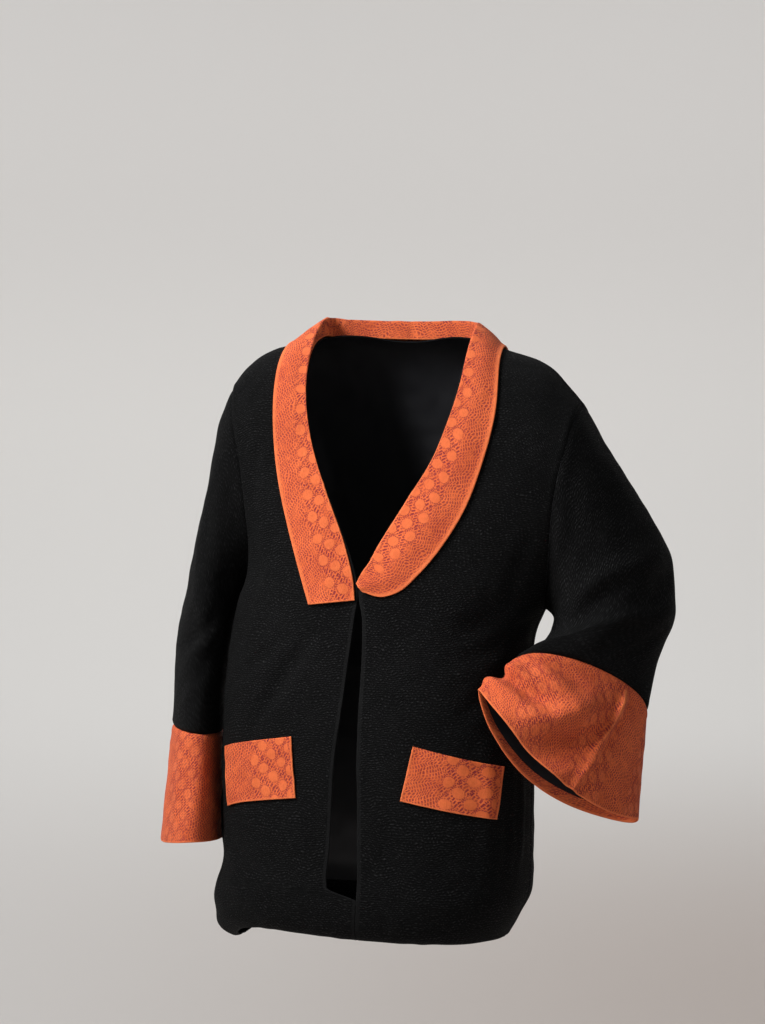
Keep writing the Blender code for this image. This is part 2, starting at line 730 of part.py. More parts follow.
def collar_row(side, share):
    """One section of the collar: the stand from its foot, the roll, and the fall to the outer edge."""
    columns = COLLAR[side]
    foot_x, foot_a, edge_x, edge_a, rise, loose = (
        smooth(columns, "along", name, share)
        for name in ("foot_across", "foot_along", "edge_across", "edge_along", "rise", "loose"))
    rise = max(rise, 0.0)
    standing = ease(rise / FULL_STAND)
    lift = LAY_GAP + COLLAR_CLOTH + loose
    foot, foot_normal = torso_across(side, foot_x, foot_a)
    edge, _ = torso_across(side, edge_x, edge_a)
    inwards = (foot - edge).normalized()
    up = Vector((0.0, 0.0, 1.0))
    flat_foot = foot + foot_normal * lift
    stood_foot = foot + foot_normal * LAY_GAP + inwards * STAND_INSET
    row = [flat_foot.lerp(stood_foot, standing)]
    first = ROLL_STARTS * (1 - standing)
    for k in range(COLLAR_COLUMNS + 1):
        t = first + (1 - first) * k / COLLAR_COLUMNS
        point, normal = torso_across(side, foot_x + (edge_x - foot_x) * t, foot_a + (edge_a - foot_a) * t)
        hump = rise * max(1 - t**ROLL_WIDTH, 0.0) ** ROLL_CURVE
        crown = COLLAR_CROWN * math.sin(math.pi * t) ** 2
        row.append(point + normal * (lift + crown) + up * hump)
    return row


def make_collar():
    """The shawl collar, one band from the right front round the neck to the left front."""
    rows = [collar_row("right", s) for s in COLLAR_STATIONS]
    rows += [collar_row("left", s) for s in reversed(COLLAR_STATIONS[:-1])]
    wall("collar", "orange", rows, moved(rows, grid_normals(rows, False), -COLLAR_CLOTH))


def make_flap(side):
    """A pocket flap, laid on its front."""
    spec = FLAP[side]
    name = "front_" + side
    low, high = [], []
    for r in range(FLAP_ROWS + 1):
        v = r / FLAP_ROWS
        low_row, high_row = [], []
        for c in range(FLAP_COLUMNS + 1):
            u = c / FLAP_COLUMNS
            top = Vector(spec["top_inner"]).lerp(Vector(spec["top_outer"]), u)
            bottom = Vector(spec["low_inner"]).lerp(Vector(spec["low_outer"]), u)
            across, along = top.lerp(bottom, v)
            point, normal = torso_across(side, across, along)
            point = folded(name, point, normal)
            low_row.append(point + normal * LAY_GAP)
            high_row.append(point + normal * (LAY_GAP + FLAP_CLOTH))
        low.append(low_row)
        high.append(high_row)
    wall("flap_" + side, "orange", high, low)


def main():
    """Makes every piece of the jacket."""
    seams = {side: make_sleeve(side) for side in ("right", "left")}
    make_panels(seams)
    make_collar()
    for side in ("right", "left"):
        make_flap(side)


for old in list(bpy.data.objects):
    bpy.data.objects.remove(old, do_unlink=True)
LEANING = Matrix.Rotation(LEAN, 4, "Y")
jacket = bpy.data.collections.new("kimono_jacket")
bpy.context.scene.collection.children.link(jacket)
main()
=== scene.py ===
"""A kimono jacket as it is worn: its cloth pieces in detail, their materials, and a plain studio."""

import math

import bmesh
import bpy
import numpy as np
from mathutils import Matrix, Vector


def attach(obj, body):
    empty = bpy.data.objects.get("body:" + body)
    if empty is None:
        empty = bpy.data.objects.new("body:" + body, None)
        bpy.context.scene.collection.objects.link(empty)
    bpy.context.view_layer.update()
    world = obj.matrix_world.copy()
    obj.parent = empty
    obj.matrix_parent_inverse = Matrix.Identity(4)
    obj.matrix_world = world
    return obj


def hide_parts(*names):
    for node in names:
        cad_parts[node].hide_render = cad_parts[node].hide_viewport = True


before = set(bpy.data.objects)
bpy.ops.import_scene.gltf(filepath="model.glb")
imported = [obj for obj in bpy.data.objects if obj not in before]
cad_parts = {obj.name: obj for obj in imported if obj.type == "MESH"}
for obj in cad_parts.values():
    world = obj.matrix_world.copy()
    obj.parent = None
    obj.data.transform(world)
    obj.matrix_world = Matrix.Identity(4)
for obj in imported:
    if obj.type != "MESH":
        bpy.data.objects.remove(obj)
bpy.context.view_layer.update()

bl_info = {
    "name": "Kimono Jacket",
    "version": (1, 0, 0),
    "blender": (4, 5, 0),
    "location": "3D View > Sidebar > Jacket",
    "description": "Makes a worn kimono jacket from its cloth sizes and colours",
    "category": "Add Mesh",
}

# The forms, in metres: the front faces -Y, the wearer's left is +X, the origin is the middle of the neck
SEAM_GAP = 0.0003
LAY_GAP = 0.0008
LEANING = np.array(Matrix.Rotation(math.radians(2.4), 3, "Y"))
UNDERARM = 0.43
HEM = 0.915
HEM_TURN = 0.055
SQUARENESS = 2.3
NECK_HALF = 0.1125
BACK_NECK_SCOOP = 0.035
SCOOP_REACH = 0.25
RIGHT_SIDE_SAG = 0.037
SAG_STARTS = 0.50
SAG_ENDS = HEM - 0.08
SLEEVE_LENGTH = 0.36
CUFF_LENGTH = 0.16
FACING_BAND = 0.022

# Where the sleeve's head turns into the sleeve's own rings, and how far it is sunk against the panels
HEAD_REACH = 0.45
HEAD_SUNK = 0.0014
HEAD_SUNK_REACH = 0.010

# What shows inside the left cuff, by shares of the way down it: where each piece starts and ends
FACING_ENDS = (0.895, 0.995)
LINING_ENDS = (0.135, 0.887)

# How the cloth is finished: where its relief grows calm at a seam, the share of its half thickness that is
# rounded away at an edge, its groove at a seam with the swelling beside it, and the bead at a free edge
CALM = 0.03
EDGE_TAKEN = 0.86
GROOVE = 0.0016
PANEL_GROOVE = 0.0008
GROOVE_WIDE = 0.0035
SWELLING = 0.0006
BEAD_WIDE = 0.004
COLLAR_BEAD = 0.0005
FLAP_BEAD = 0.0007

# The collar's form: its slight crown, the rise at which it stands fully, how far its standing foot lies
# inwards, by what share of the stand it starts above that, and how finely it is worked out
COLLAR_CROWN = 0.003
COLLAR_STANDS = 0.02
STAND_INWARDS = 0.002
STAND_STARTS = 0.0001
COLLAR_POINTS = 60
STAND_POINTS = 12
COLLAR_SAMPLES = 64
COLLAR_SOFTENED = 6

# The figures of the cloths: the crepe's nubs, the stripes of the orange cloth, its diamonds and discs
NUB_LENGTH = 0.0058
NUB_WIDTH = 0.0034
STRIPE = 0.115
WAVY_SHARE = 0.43
DIAMOND_WIDE = 0.0290
DIAMOND_HIGH = 0.0316
DIAMOND_SKEW = 0.21
DIAMOND_SIDES = (0.0204, 0.0250)
BAND_APART, LINE_APART = (DIAMOND_WIDE * DIAMOND_HIGH / 2 / length for length in DIAMOND_SIDES)
DISC = 0.0144

# Where each piece is cut from its cloth: how far across the stripes, and how far it is turned
COLLAR_CUT = 0.0144
FLAP_CUT = 0.0040
CUFF_CUT = {"right": -0.030, "left": 0.0}
CUFF_TURN = {"right": 0.12, "left": 0.30}
SLEEVE_TURN = 0.30

# How finely the pieces are divided: rough lengths of their rows and columns, how much finer some are, and how
# far the first rows stand from a free edge and from a seam
CURVE_SAMPLES = 140
FRONT_ACROSS = 0.25
SHOULDER_ACROSS = 0.16
ARMHOLE_HALF = 0.40
COLLAR_HALF = 0.62
COLLAR_ACROSS = 0.11
LOWER_FINER = 1.25
FLAP_FINER = 1.4
INSIDE_ROWS = 4
RIM = (0.0, 0.0003, 0.0008, 0.0016, 0.0030, 0.0052)
SEAMED = (0.00015, 0.0012, 0.0026, 0.0045)

# Each piece's material slot, the size that it was cut to, its flat area where the cut isn't a rectangle, how
# it is held, and the pieces that it rests on
SHEETS = {
    "back": ("crepe", (0.56, 0.93), 0.49, "draped", ()),
    "front_right": ("crepe", (0.28, 0.93), 0.22, "draped", ()),
    "front_left": ("crepe", (0.28, 0.93), 0.22, "draped", ()),
    "sleeve_right": ("crepe", (0.62, 0.36), 0.175, "draped", ()),
    "sleeve_left": ("crepe", (0.62, 0.36), 0.163, "draped", ()),
    "cuff_right": ("orange", (0.60, CUFF_LENGTH), 0.083, "hung", ()),
    "cuff_left": ("orange", (0.60, CUFF_LENGTH), 0.075, "hung", ()),
    "cuff_facing_left": ("orange", (0.60, CUFF_LENGTH * (FACING_ENDS[1] - FACING_ENDS[0])), None, "laid",
                         ("cuff_left",)),
    "cuff_lining_left": ("lining", (0.60, CUFF_LENGTH * (LINING_ENDS[1] - LINING_ENDS[0])), None, "laid",
                         ("cuff_left",)),
    "collar": ("orange", (0.10, 1.25), 0.10, "folded", ("back", "front_right", "front_left")),
    "flap_right": ("orange", (0.140, 0.086), None, "laid", ("front_right",)),
    "flap_left": ("orange", (0.125, 0.078), None, "laid", ("front_left",)),
}

# The camera: its turn, distance, height and place aside, its sensor, and its focal length in pixels of a
# picture of this height
CAMERA_TURN = math.radians(17.5)
CAMERA_AWAY = 3.2
CAMERA_HEIGHT = -0.239
CAMERA_ASIDE = -0.0279
SENSOR = 36.0
FOCAL_PIXELS = 2236.0
PICTURE_HEIGHT = 1024.0

# The studio: its floor, the bend and the wall behind it, by shares of the paper's way, and the air's light
FLOOR_HEIGHT = -1.45
FLOOR_FRONT = -4.0
FLOOR_SHARE = 0.35
WALL_BACK = 3.2
WALL_HIGH = 3.0
WALL_SHARE = 0.65
BEND_RADIUS = 1.4
BACKDROP_HALF = 6.0
AIR_COLOUR = (0.9, 0.95, 1.0, 1.0)
AIR_STRENGTH = 0.13

# The lights: power, size, spread in degrees, place and target
LIGHTS = {
    "key": (108.0, 1.0, 180.0, (-1.60, -1.75, 1.6), (0.0, 0.0, -0.20)),
    "fill": (15.0, 2.4, 180.0, (2.9, -1.6, 0.2), (0.0, 0.0, -0.4)),
    "near": (0.7, 0.5, 24.0, (-0.9, -1.9, 0.5), (0.27, -0.10, -0.47)),
    "top": (14.0, 2.0, 180.0, (-0.4, 0.5, 2.4), (0.0, 0.1, -0.3)),
    "backdrop_left": (19.0, 2.2, 180.0, (-2.4, 0.7, 1.5), (-0.9, 3.4, -0.3)),
    "backdrop_right": (28.0, 2.0, 180.0, (1.3, 1.2, 1.3), (0.5, 3.6, 0.1)),
}


def table(names, *rows):
    """Turns short rows into named columns; a column may hold numbers or points."""
    return {name: np.array([row[i] for row in rows], dtype=float) for i, name in enumerate(names.split())}


# The torso seen from the side: how far the cloth has dropped and stands out, front and back
PROFILE = table(
    "along drop front back",
    (0.000, 0.000, 0.000, 0.000),
    (0.020, 0.003, 0.020, 0.020),
    (0.045, 0.011, 0.043, 0.043),
    (0.080, 0.031, 0.069, 0.067),
    (0.120, 0.064, 0.091, 0.086),
    (0.170, 0.109, 0.111, 0.101),
    (0.230, 0.167, 0.126, 0.112),
    (0.300, 0.236, 0.138, 0.121),
    (0.370, 0.305, 0.144, 0.127),
    (0.430, 0.365, 0.146, 0.129),
    (0.500, 0.435, 0.148, 0.129),
    (0.600, 0.535, 0.152, 0.132),
    (0.700, 0.635, 0.156, 0.138),
    (0.785, 0.720, 0.160, 0.144),
    (0.820, 0.755, 0.164, 0.148),
    (0.840, 0.775, 0.165, 0.149),
    (0.860, 0.795, 0.162, 0.146),
    (0.876, 0.811, 0.156, 0.140),
    (0.888, 0.821, 0.149, 0.133),
    (0.898, 0.827, 0.141, 0.125),
    (0.907, 0.829, 0.133, 0.117),
    (0.915, 0.827, 0.127, 0.111),
)

# Half widths of the body below the underarm, on the wearer's right and left
WIDTH = table(
    "along right left",
    (0.430, 0.2225, 0.2250),
    (0.455, 0.2280, 0.2135),
    (0.485, 0.2325, 0.2085),
    (0.525, 0.2375, 0.2080),
    (0.585, 0.2405, 0.2105),
    (0.665, 0.2390, 0.2155),
    (0.745, 0.2345, 0.2180),
    (0.785, 0.2310, 0.2190),
    (0.810, 0.2370, 0.2195),
    (0.836, 0.2420, 0.2165),
    (0.860, 0.2390, 0.2060),
    (0.876, 0.2365, 0.1985),
    (0.888, 0.2290, 0.1930),
    (0.898, 0.2190, 0.1895),
    (0.907, 0.2110, 0.1860),
    (0.915, 0.2060, 0.1820),
)

# Top of the shoulder, by share of the way from the neck's middle to the shoulder's tip
RIDGE = table(
    "share right left",
    (0.00, 0.0160, 0.0160),
    (0.40, 0.0120, 0.0110),
    (0.60, 0.0020, -0.0050),
    (0.67, -0.0035, -0.0100),
    (0.75, -0.0080, -0.0170),
    (0.84, -0.0190, -0.0320),
    (0.91, -0.0350, -0.0520),
    (0.96, -0.0530, -0.0660),
    (1.00, -0.0800, -0.0800),
    (1.10, -0.1400, -0.1300),
)

# The armhole: where it lies across, and how much of the torso's depth it reaches
ARMHOLE = table(
    "along right left reach",
    (0.000, 0.2460, 0.2690, 0.92),
    (0.060, 0.2375, 0.2690, 0.90),
    (0.100, 0.2310, 0.2670, 0.86),
    (0.155, 0.2235, 0.2630, 0.80),
    (0.220, 0.2110, 0.2550, 0.71),
    (0.300, 0.2010, 0.2480, 0.60),
    (0.360, 0.2000, 0.2420, 0.43),
    (0.400, 0.2080, 0.2350, 0.25),
    (0.430, 0.2225, 0.2250, 0.00),
)

# Inner edges of the fronts: the neck edge down to the closing point, then the front edge
INNER_EDGE = table(
    "along right left",
    (0.000, 0.1125, 0.1125),
    (0.060, 0.1130, 0.1130),
    (0.100, 0.1120, 0.1120),
    (0.135, 0.1085, 0.1095),
    (0.170, 0.1020, 0.1050),
    (0.210, 0.0905, 0.0965),
    (0.250, 0.0740, 0.0790),
    (0.290, 0.0540, 0.0590),
    (0.330, 0.0340, 0.0370),
    (0.370, 0.0165, 0.0150),
    (0.412, 0.0045, -0.0035),
    (0.450, 0.0075, 0.0030),
    (0.500, 0.0125, 0.0055),
    (0.590, 0.0210, 0.0045),
    (0.645, 0.0262, 0.0055),
    (0.700, 0.0268, 0.0095),
    (0.770, 0.0270, 0.0135),
    (0.815, 0.0268, 0.0165),
    (0.822, 0.0250, 0.0166),
    (0.834, -0.0166, 0.0168),
    (0.842, -0.0167, 0.0168),
    (0.880, -0.0139, 0.0140),
    (0.915, -0.0109, 0.0110),
)

# Sleeves: the outer and inner point of each ring, the way its front faces, and half its depth
SLEEVE = {
    "right": table(
        "along outer inner face half",
        (0.00, (-0.2531, 0.000, -0.080), (-0.2225, 0.000, -0.365), (0.0, -1.0, 0.0), 0.087),
        (0.10, (-0.2690, 0.003, -0.120), (-0.2260, 0.002, -0.3685), (0.00, -1.0, 0.0), 0.088),
        (0.28, (-0.2840, 0.006, -0.210), (-0.2300, 0.004, -0.377), (0.06, -1.0, 0.0), 0.091),
        (0.46, (-0.3060, 0.008, -0.310), (-0.2340, 0.005, -0.393), (0.18, -1.0, 0.0), 0.096),
        (0.62, (-0.3210, 0.009, -0.382), (-0.2400, 0.005, -0.420), (0.26, -1.0, 0.0), 0.098),
        (0.78, (-0.3335, 0.008, -0.452), (-0.2460, 0.004, -0.466), (0.32, -1.0, 0.0), 0.098),
        (0.90, (-0.3325, 0.006, -0.512), (-0.2495, 0.002, -0.518), (0.32, -1.0, 0.0), 0.098),
        (1.00, (-0.3325, 0.005, -0.565), (-0.2490, 0.000, -0.569), (0.32, -1.0, 0.0), 0.098),
    ),
    "left": table(
        "along outer inner face half",
        (0.00, (0.269, 0.000, -0.080), (0.225, 0.000, -0.365), (0.00, -1.0, 0.00), 0.087),
        (0.09, (0.290, 0.012, -0.120), (0.231, -0.004, -0.368), (0.00, -1.0, 0.00), 0.088),
        (0.27, (0.345, 0.050, -0.207), (0.239, -0.007, -0.377), (0.10, -1.0, 0.05), 0.090),
        (0.45, (0.387, 0.084, -0.292), (0.240, -0.019, -0.389), (0.26, -1.0, 0.12), 0.090),
        (0.545, (0.392, 0.090, -0.336), (0.240, -0.029, -0.396), (0.32, -1.0, 0.17), 0.087),
        (0.64, (0.394, 0.082, -0.373), (0.238, -0.041, -0.403), (0.38, -1.0, 0.25), 0.083),
        (0.82, (0.380, 0.047, -0.431), (0.226, -0.071, -0.419), (0.25, -1.0, 0.55), 0.072),
        (1.00, (0.373, 0.017, -0.496), (0.209, -0.108, -0.440), (0.05, -0.743, 0.67), 0.061),
    ),
}

# Cuff openings: outer and inner point, the way to the front of the rim, how far its middles reach on, and
# the shares of that in front and behind, each with its change from the inner to the outer point
CUFF = {
    "right": {
        "outer": (-0.3415, 0.000, -0.735),
        "inner": (-0.2430, 0.000, -0.724),
        "face": (0.042, -0.131, 0.0),
        "reach_on": (0.0, 0.0, 0.012),
        "shares": ((1.0, 0.0), (1.5, 0.0)),
        "flare": 1.0,
    },
    "left": {
        "outer": (0.369, 0.003, -0.651),
        "inner": (0.173, -0.151, -0.472),
        "face": (0.0095, -0.0385, 0.0255),
        "reach_on": (0.0015, -0.0265, -0.039),
        "shares": ((1.15, 0.15), (0.90, -0.58)),
        "flare": 1.15,
    },
}

# The collar from the closing point to the middle of the back neck: its foot and outer edge on the torso,
# how high it stands at the neck before it rolls over, and how loosely it lies on the panels
COLLAR = {
    "right": table(
        "along foot_across foot_along edge_across edge_along rise loose",
        (0.00, 0.0072, 0.426, 0.0755, 0.436, 0.000, 0.0000),
        (0.07, 0.0125, 0.393, 0.0915, 0.395, 0.000, 0.0000),
        (0.14, 0.0260, 0.352, 0.1065, 0.355, 0.000, 0.0000),
        (0.28, 0.0610, 0.278, 0.1365, 0.262, 0.001, 0.0000),
        (0.42, 0.0905, 0.207, 0.1515, 0.183, 0.002, 0.0002),
        (0.54, 0.1075, 0.135, 0.1590, 0.108, 0.003, 0.0008),
        (0.66, 0.1120, 0.062, 0.1590, 0.040, 0.009, 0.0016),
        (0.74, 0.1120, 0.012, 0.1580, -0.020, 0.022, 0.0018),
        (0.80, 0.1080, -0.014, 0.1520, -0.062, 0.026, 0.0018),
        (0.87, 0.0850, -0.028, 0.1200, -0.098, 0.026, 0.0016),
        (1.00, 0.0000, -0.036, 0.0000, -0.116, 0.026, 0.0014),
    ),
    "left": table(
        "along foot_across foot_along edge_across edge_along rise loose",
        (0.00, -0.0068, 0.403, 0.0030, 0.414, 0.000, 0.0000),
        (0.04, 0.0005, 0.388, 0.0290, 0.4195, 0.000, 0.0000),
        (0.08, 0.0100, 0.374, 0.0530, 0.412, 0.000, 0.0000),
        (0.14, 0.0210, 0.352, 0.0800, 0.387, 0.000, 0.0000),
        (0.28, 0.0590, 0.287, 0.1300, 0.312, 0.001, 0.0000),
        (0.42, 0.0930, 0.220, 0.1560, 0.232, 0.002, 0.0002),
        (0.54, 0.1125, 0.140, 0.1680, 0.150, 0.003, 0.0008),
        (0.66, 0.1145, 0.062, 0.1595, 0.058, 0.008, 0.0010),
        (0.74, 0.1110, 0.012, 0.1505, -0.012, 0.018, 0.0010),
        (0.80, 0.1060, -0.014, 0.1440, -0.060, 0.022, 0.0012),
        (0.87, 0.0850, -0.028, 0.1200, -0.098, 0.026, 0.0016),
        (1.00, 0.0000, -0.036, 0.0000, -0.116, 0.026, 0.0014),
    ),
}

# Pocket flaps: their four corners on the torso, across and along
FLAP = {
    "right": {"top_outer": (0.212, 0.641), "top_inner": (0.092, 0.619),
              "low_inner": (0.080, 0.703), "low_outer": (0.200, 0.722)},
    "left": {"top_outer": (0.194, 0.646), "top_inner": (0.083, 0.620),
             "low_inner": (0.070, 0.695), "low_outer": (0.189, 0.718)},
}

# The largest folds: a line in space, how deep the cloth sinks along it (negative stands out), how wide
FOLDS = {
    "cuff_left": (
        ((0.200, -0.170, -0.500), (0.335, -0.075, -0.486), -0.014, 0.036),
    ),
    "sleeve_left": (
        ((0.392, 0.030, -0.318), (0.262, -0.075, -0.405), 0.017, 0.024),
        ((0.385, 0.020, -0.275), (0.270, -0.080, -0.345), -0.006, 0.026),
        ((0.300, 0.100, -0.300), (0.250, 0.060, -0.390), 0.010, 0.024),
    ),
    "sleeve_right": (
        ((-0.315, -0.070, -0.455), (-0.255, -0.095, -0.400), 0.008, 0.018),
        ((-0.315, 0.080, -0.430), (-0.255, 0.100, -0.370), 0.007, 0.020),
    ),
    "front_right": (
        ((-0.075, -0.150, -0.410), (-0.165, -0.130, -0.560), 0.004, 0.016),
    ),
    "front_left": (
        ((0.180, -0.100, -0.560), (0.185, -0.105, -0.720), -0.005, 0.014),
        ((0.205, -0.060, -0.330), (0.120, -0.130, -0.420), 0.005, 0.020),
    ),
    "back": (
        ((-0.160, 0.090, -0.250), (-0.110, 0.135, -0.700), -0.006, 0.028),
        ((0.150, 0.090, -0.260), (0.115, 0.135, -0.640), -0.007, 0.030),
        ((0.020, 0.130, -0.420), (0.010, 0.140, -0.760), 0.005, 0.026),
    ),
}

# Creases: a bent line in space, how deep the cloth sinks along it (negative stands out), how wide
CREASES = {
    "front_right": (
        ((-0.060, -0.150, -0.400), (-0.110, -0.140, -0.470), (-0.175, -0.120, -0.560), 0.0020, 0.010),
        ((-0.090, -0.145, -0.395), (-0.150, -0.125, -0.450), (-0.215, -0.085, -0.500), 0.0016, 0.009),
        ((-0.195, -0.080, -0.250), (-0.178, -0.105, -0.330), (-0.190, -0.095, -0.420), 0.0026, 0.011),
        ((-0.215, -0.060, -0.400), (-0.160, -0.120, -0.440), (-0.090, -0.145, -0.455), 0.0018, 0.010),
        ((-0.165, -0.110, -0.120), (-0.180, -0.100, -0.200), (-0.170, -0.105, -0.280), 0.0016, 0.010),
        ((-0.225, -0.070, -0.690), (-0.150, -0.130, -0.735), (-0.060, -0.155, -0.740), 0.0020, 0.012),
        ((-0.235, -0.040, -0.620), (-0.225, -0.070, -0.700), (-0.230, -0.055, -0.760), 0.0026, 0.011),
    ),
    "front_left": (
        ((0.212, -0.037, -0.590), (0.215, -0.040, -0.660), (0.208, -0.045, -0.735), -0.0035, 0.008),
        ((0.196, -0.070, -0.600), (0.199, -0.070, -0.680), (0.190, -0.075, -0.740), 0.0028, 0.008),
        ((0.225, -0.020, -0.370), (0.175, -0.095, -0.420), (0.100, -0.135, -0.445), 0.0026, 0.011),
        ((0.222, -0.030, -0.400), (0.180, -0.090, -0.470), (0.130, -0.125, -0.520), 0.0020, 0.011),
        ((0.226, -0.080, -0.240), (0.205, -0.090, -0.310), (0.190, -0.090, -0.385), 0.0022, 0.011),
        ((0.190, -0.085, -0.120), (0.215, -0.085, -0.200), (0.215, -0.080, -0.290), 0.0018, 0.012),
        ((0.040, -0.150, -0.725), (0.110, -0.140, -0.745), (0.190, -0.085, -0.735), 0.0018, 0.011),
    ),
    "back": (
        ((-0.205, 0.060, -0.300), (-0.140, 0.115, -0.370), (-0.060, 0.125, -0.390), 0.0030, 0.014),
        ((0.210, 0.060, -0.310), (0.140, 0.115, -0.380), (0.070, 0.125, -0.410), 0.0032, 0.014),
        ((-0.190, 0.080, -0.420), (-0.110, 0.125, -0.470), (-0.030, 0.130, -0.460), 0.0022, 0.012),
        ((0.185, 0.080, -0.440), (0.110, 0.125, -0.500), (0.030, 0.130, -0.500), 0.0020, 0.012),
        ((-0.170, 0.085, -0.130), (-0.150, 0.100, -0.220), (-0.160, 0.095, -0.300), 0.0024, 0.013),
        ((0.175, 0.080, -0.130), (0.160, 0.095, -0.210), (0.170, 0.090, -0.290), 0.0022, 0.012),
        ((-0.200, 0.075, -0.600), (-0.180, 0.100, -0.680), (-0.190, 0.095, -0.750), 0.0028, 0.012),
        ((0.170, 0.090, -0.580), (0.160, 0.105, -0.660), (0.170, 0.100, -0.740), 0.0026, 0.011),
        ((-0.100, 0.130, -0.700), (0.000, 0.140, -0.730), (0.110, 0.130, -0.715), 0.0018, 0.013),
    ),
    "sleeve_right": (
        ((-0.232, -0.075, -0.385), (-0.252, -0.085, -0.420), (-0.300, -0.080, -0.445), 0.0045, 0.010),
        ((-0.228, -0.070, -0.420), (-0.255, -0.085, -0.475), (-0.310, -0.070, -0.510), 0.0026, 0.011),
        ((-0.245, -0.085, -0.180), (-0.258, -0.085, -0.270), (-0.250, -0.085, -0.350), 0.0022, 0.011),
        ((-0.290, -0.060, -0.220), (-0.300, -0.065, -0.310), (-0.285, -0.080, -0.390), 0.0018, 0.013),
        ((-0.232, 0.070, -0.395), (-0.262, 0.090, -0.430), (-0.310, 0.080, -0.450), 0.0040, 0.011),
        ((-0.245, 0.085, -0.200), (-0.262, 0.090, -0.290), (-0.255, 0.090, -0.370), 0.0022, 0.012),
        ((-0.320, 0.030, -0.330), (-0.330, 0.010, -0.400), (-0.333, -0.020, -0.470), 0.0018, 0.012),
        ((-0.255, -0.090, -0.480), (-0.268, -0.095, -0.530), (-0.262, -0.095, -0.560), 0.0016, 0.009),
    ),
    "sleeve_left": (
        ((0.388, 0.040, -0.312), (0.327, -0.060, -0.334), (0.268, -0.090, -0.412), 0.0060, 0.011),
        ((0.384, 0.035, -0.288), (0.335, -0.035, -0.296), (0.290, -0.070, -0.345), -0.0024, 0.012),
        ((0.386, 0.020, -0.345), (0.340, -0.050, -0.372), (0.300, -0.085, -0.425), -0.0026, 0.012),
        ((0.262, -0.080, -0.150), (0.275, -0.075, -0.240), (0.255, -0.080, -0.340), 0.0026, 0.012),
        ((0.300, -0.030, -0.160), (0.325, -0.030, -0.220), (0.330, -0.035, -0.280), 0.0018, 0.013),
        ((0.245, -0.070, -0.290), (0.262, -0.075, -0.340), (0.262, -0.085, -0.390), 0.0030, 0.010),
        ((0.392, 0.060, -0.360), (0.375, 0.000, -0.400), (0.350, -0.050, -0.430), 0.0022, 0.010),
        ((0.300, 0.110, -0.200), (0.330, 0.130, -0.270), (0.300, 0.110, -0.340), 0.0030, 0.013),
        ((0.250, 0.070, -0.300), (0.290, 0.105, -0.330), (0.350, 0.130, -0.330), 0.0046, 0.012),
        ((0.245, 0.060, -0.350), (0.290, 0.090, -0.370), (0.350, 0.110, -0.380), 0.0028, 0.011),
    ),
    "cuff_left": (
        ((0.217, -0.078, -0.490), (0.196, -0.131, -0.452), (0.262, -0.136, -0.492), 0.0235, 0.0100),
        ((0.235, -0.120, -0.420), (0.270, -0.120, -0.458), (0.300, -0.100, -0.492), -0.0080, 0.014),
        ((0.225, -0.162, -0.502), (0.268, -0.136, -0.504), (0.326, -0.080, -0.484), -0.0080, 0.015),
        ((0.225, -0.166, -0.545), (0.285, -0.124, -0.546), (0.332, -0.074, -0.516), 0.0120, 0.017),
        ((0.364, -0.012, -0.440), (0.331, -0.073, -0.529), (0.286, -0.148, -0.632), -0.0070, 0.0065),
        ((0.350, 0.020, -0.510), (0.352, 0.010, -0.560), (0.356, 0.000, -0.620), 0.0020, 0.010),
    ),
    "cuff_right": (
        ((-0.270, -0.095, -0.580), (-0.262, -0.110, -0.640), (-0.268, -0.120, -0.710), 0.0026, 0.012),
        ((-0.315, -0.070, -0.600), (-0.322, -0.080, -0.660), (-0.318, -0.085, -0.720), 0.0020, 0.011),
        ((-0.270, 0.095, -0.590), (-0.265, 0.115, -0.650), (-0.275, 0.120, -0.710), 0.0024, 0.012),
    ),
    "collar": (
        ((-0.150, -0.060, -0.040), (-0.135, -0.080, -0.060), (-0.115, -0.080, -0.070), 0.0014, 0.008),
        ((0.150, -0.060, -0.045), (0.140, -0.085, -0.065), (0.118, -0.085, -0.075), 0.0014, 0.008),
    ),
    "flap_right": (
        ((-0.186, -0.110, -0.560), (-0.183, -0.114, -0.615), (-0.180, -0.116, -0.672), 0.0040, 0.005),
    ),
}

# Seams on a piece: points along each, which the cloth's material draws as a fine ridge with a painted
# highlight along it
SEAM_LINES = {
    "cuff_left": ((0.352, -0.034, -0.470), (0.338, -0.060, -0.512), (0.323, -0.086, -0.545),
                  (0.306, -0.114, -0.584), (0.294, -0.134, -0.614)),
    "sleeve_left": ((0.392, 0.040, -0.405), (0.373, 0.004, -0.445), (0.363, -0.016, -0.457),
                    (0.352, -0.034, -0.472)),
}


def smooth(columns, key, name, value):
    """Reads a column at values of the key column, on a smooth curve through its rows."""
    keys, data = columns[key], columns[name]
    value = np.clip(value, keys[0], keys[-1])
    i = np.clip(np.searchsorted(keys, value) - 1, 0, len(keys) - 2)
    gaps = np.diff(keys)
    t = (value - keys[i]) / gaps[i]
    if data.ndim > 1:
        gaps, t = gaps[:, None], t[..., None]
    rise = np.diff(data, axis=0) / gaps
    between = (rise[:-1] * gaps[1:] + rise[1:] * gaps[:-1]) / (gaps[:-1] + gaps[1:])
    slope = np.concatenate([rise[:1], between, rise[-1:]])
    return ((2 * t**3 - 3 * t**2 + 1) * data[i] + (t**3 - 2 * t**2 + t) * gaps[i] * slope[i]
            + (3 * t**2 - 2 * t**3) * data[i + 1] + (t**3 - t**2) * gaps[i] * slope[i + 1])


def ease(t):
    """Goes smoothly from 0 to 1."""
    t = np.clip(t, 0.0, 1.0)
    return t * t * (3 - 2 * t)


def unit(vectors):
    """Vectors of length one."""
    return vectors / np.maximum(np.linalg.norm(vectors, axis=-1, keepdims=True), 1e-12)


def nearest(*distances):
    """The smallest of several distances at each point."""
    return np.min(np.broadcast_arrays(*distances), axis=0)


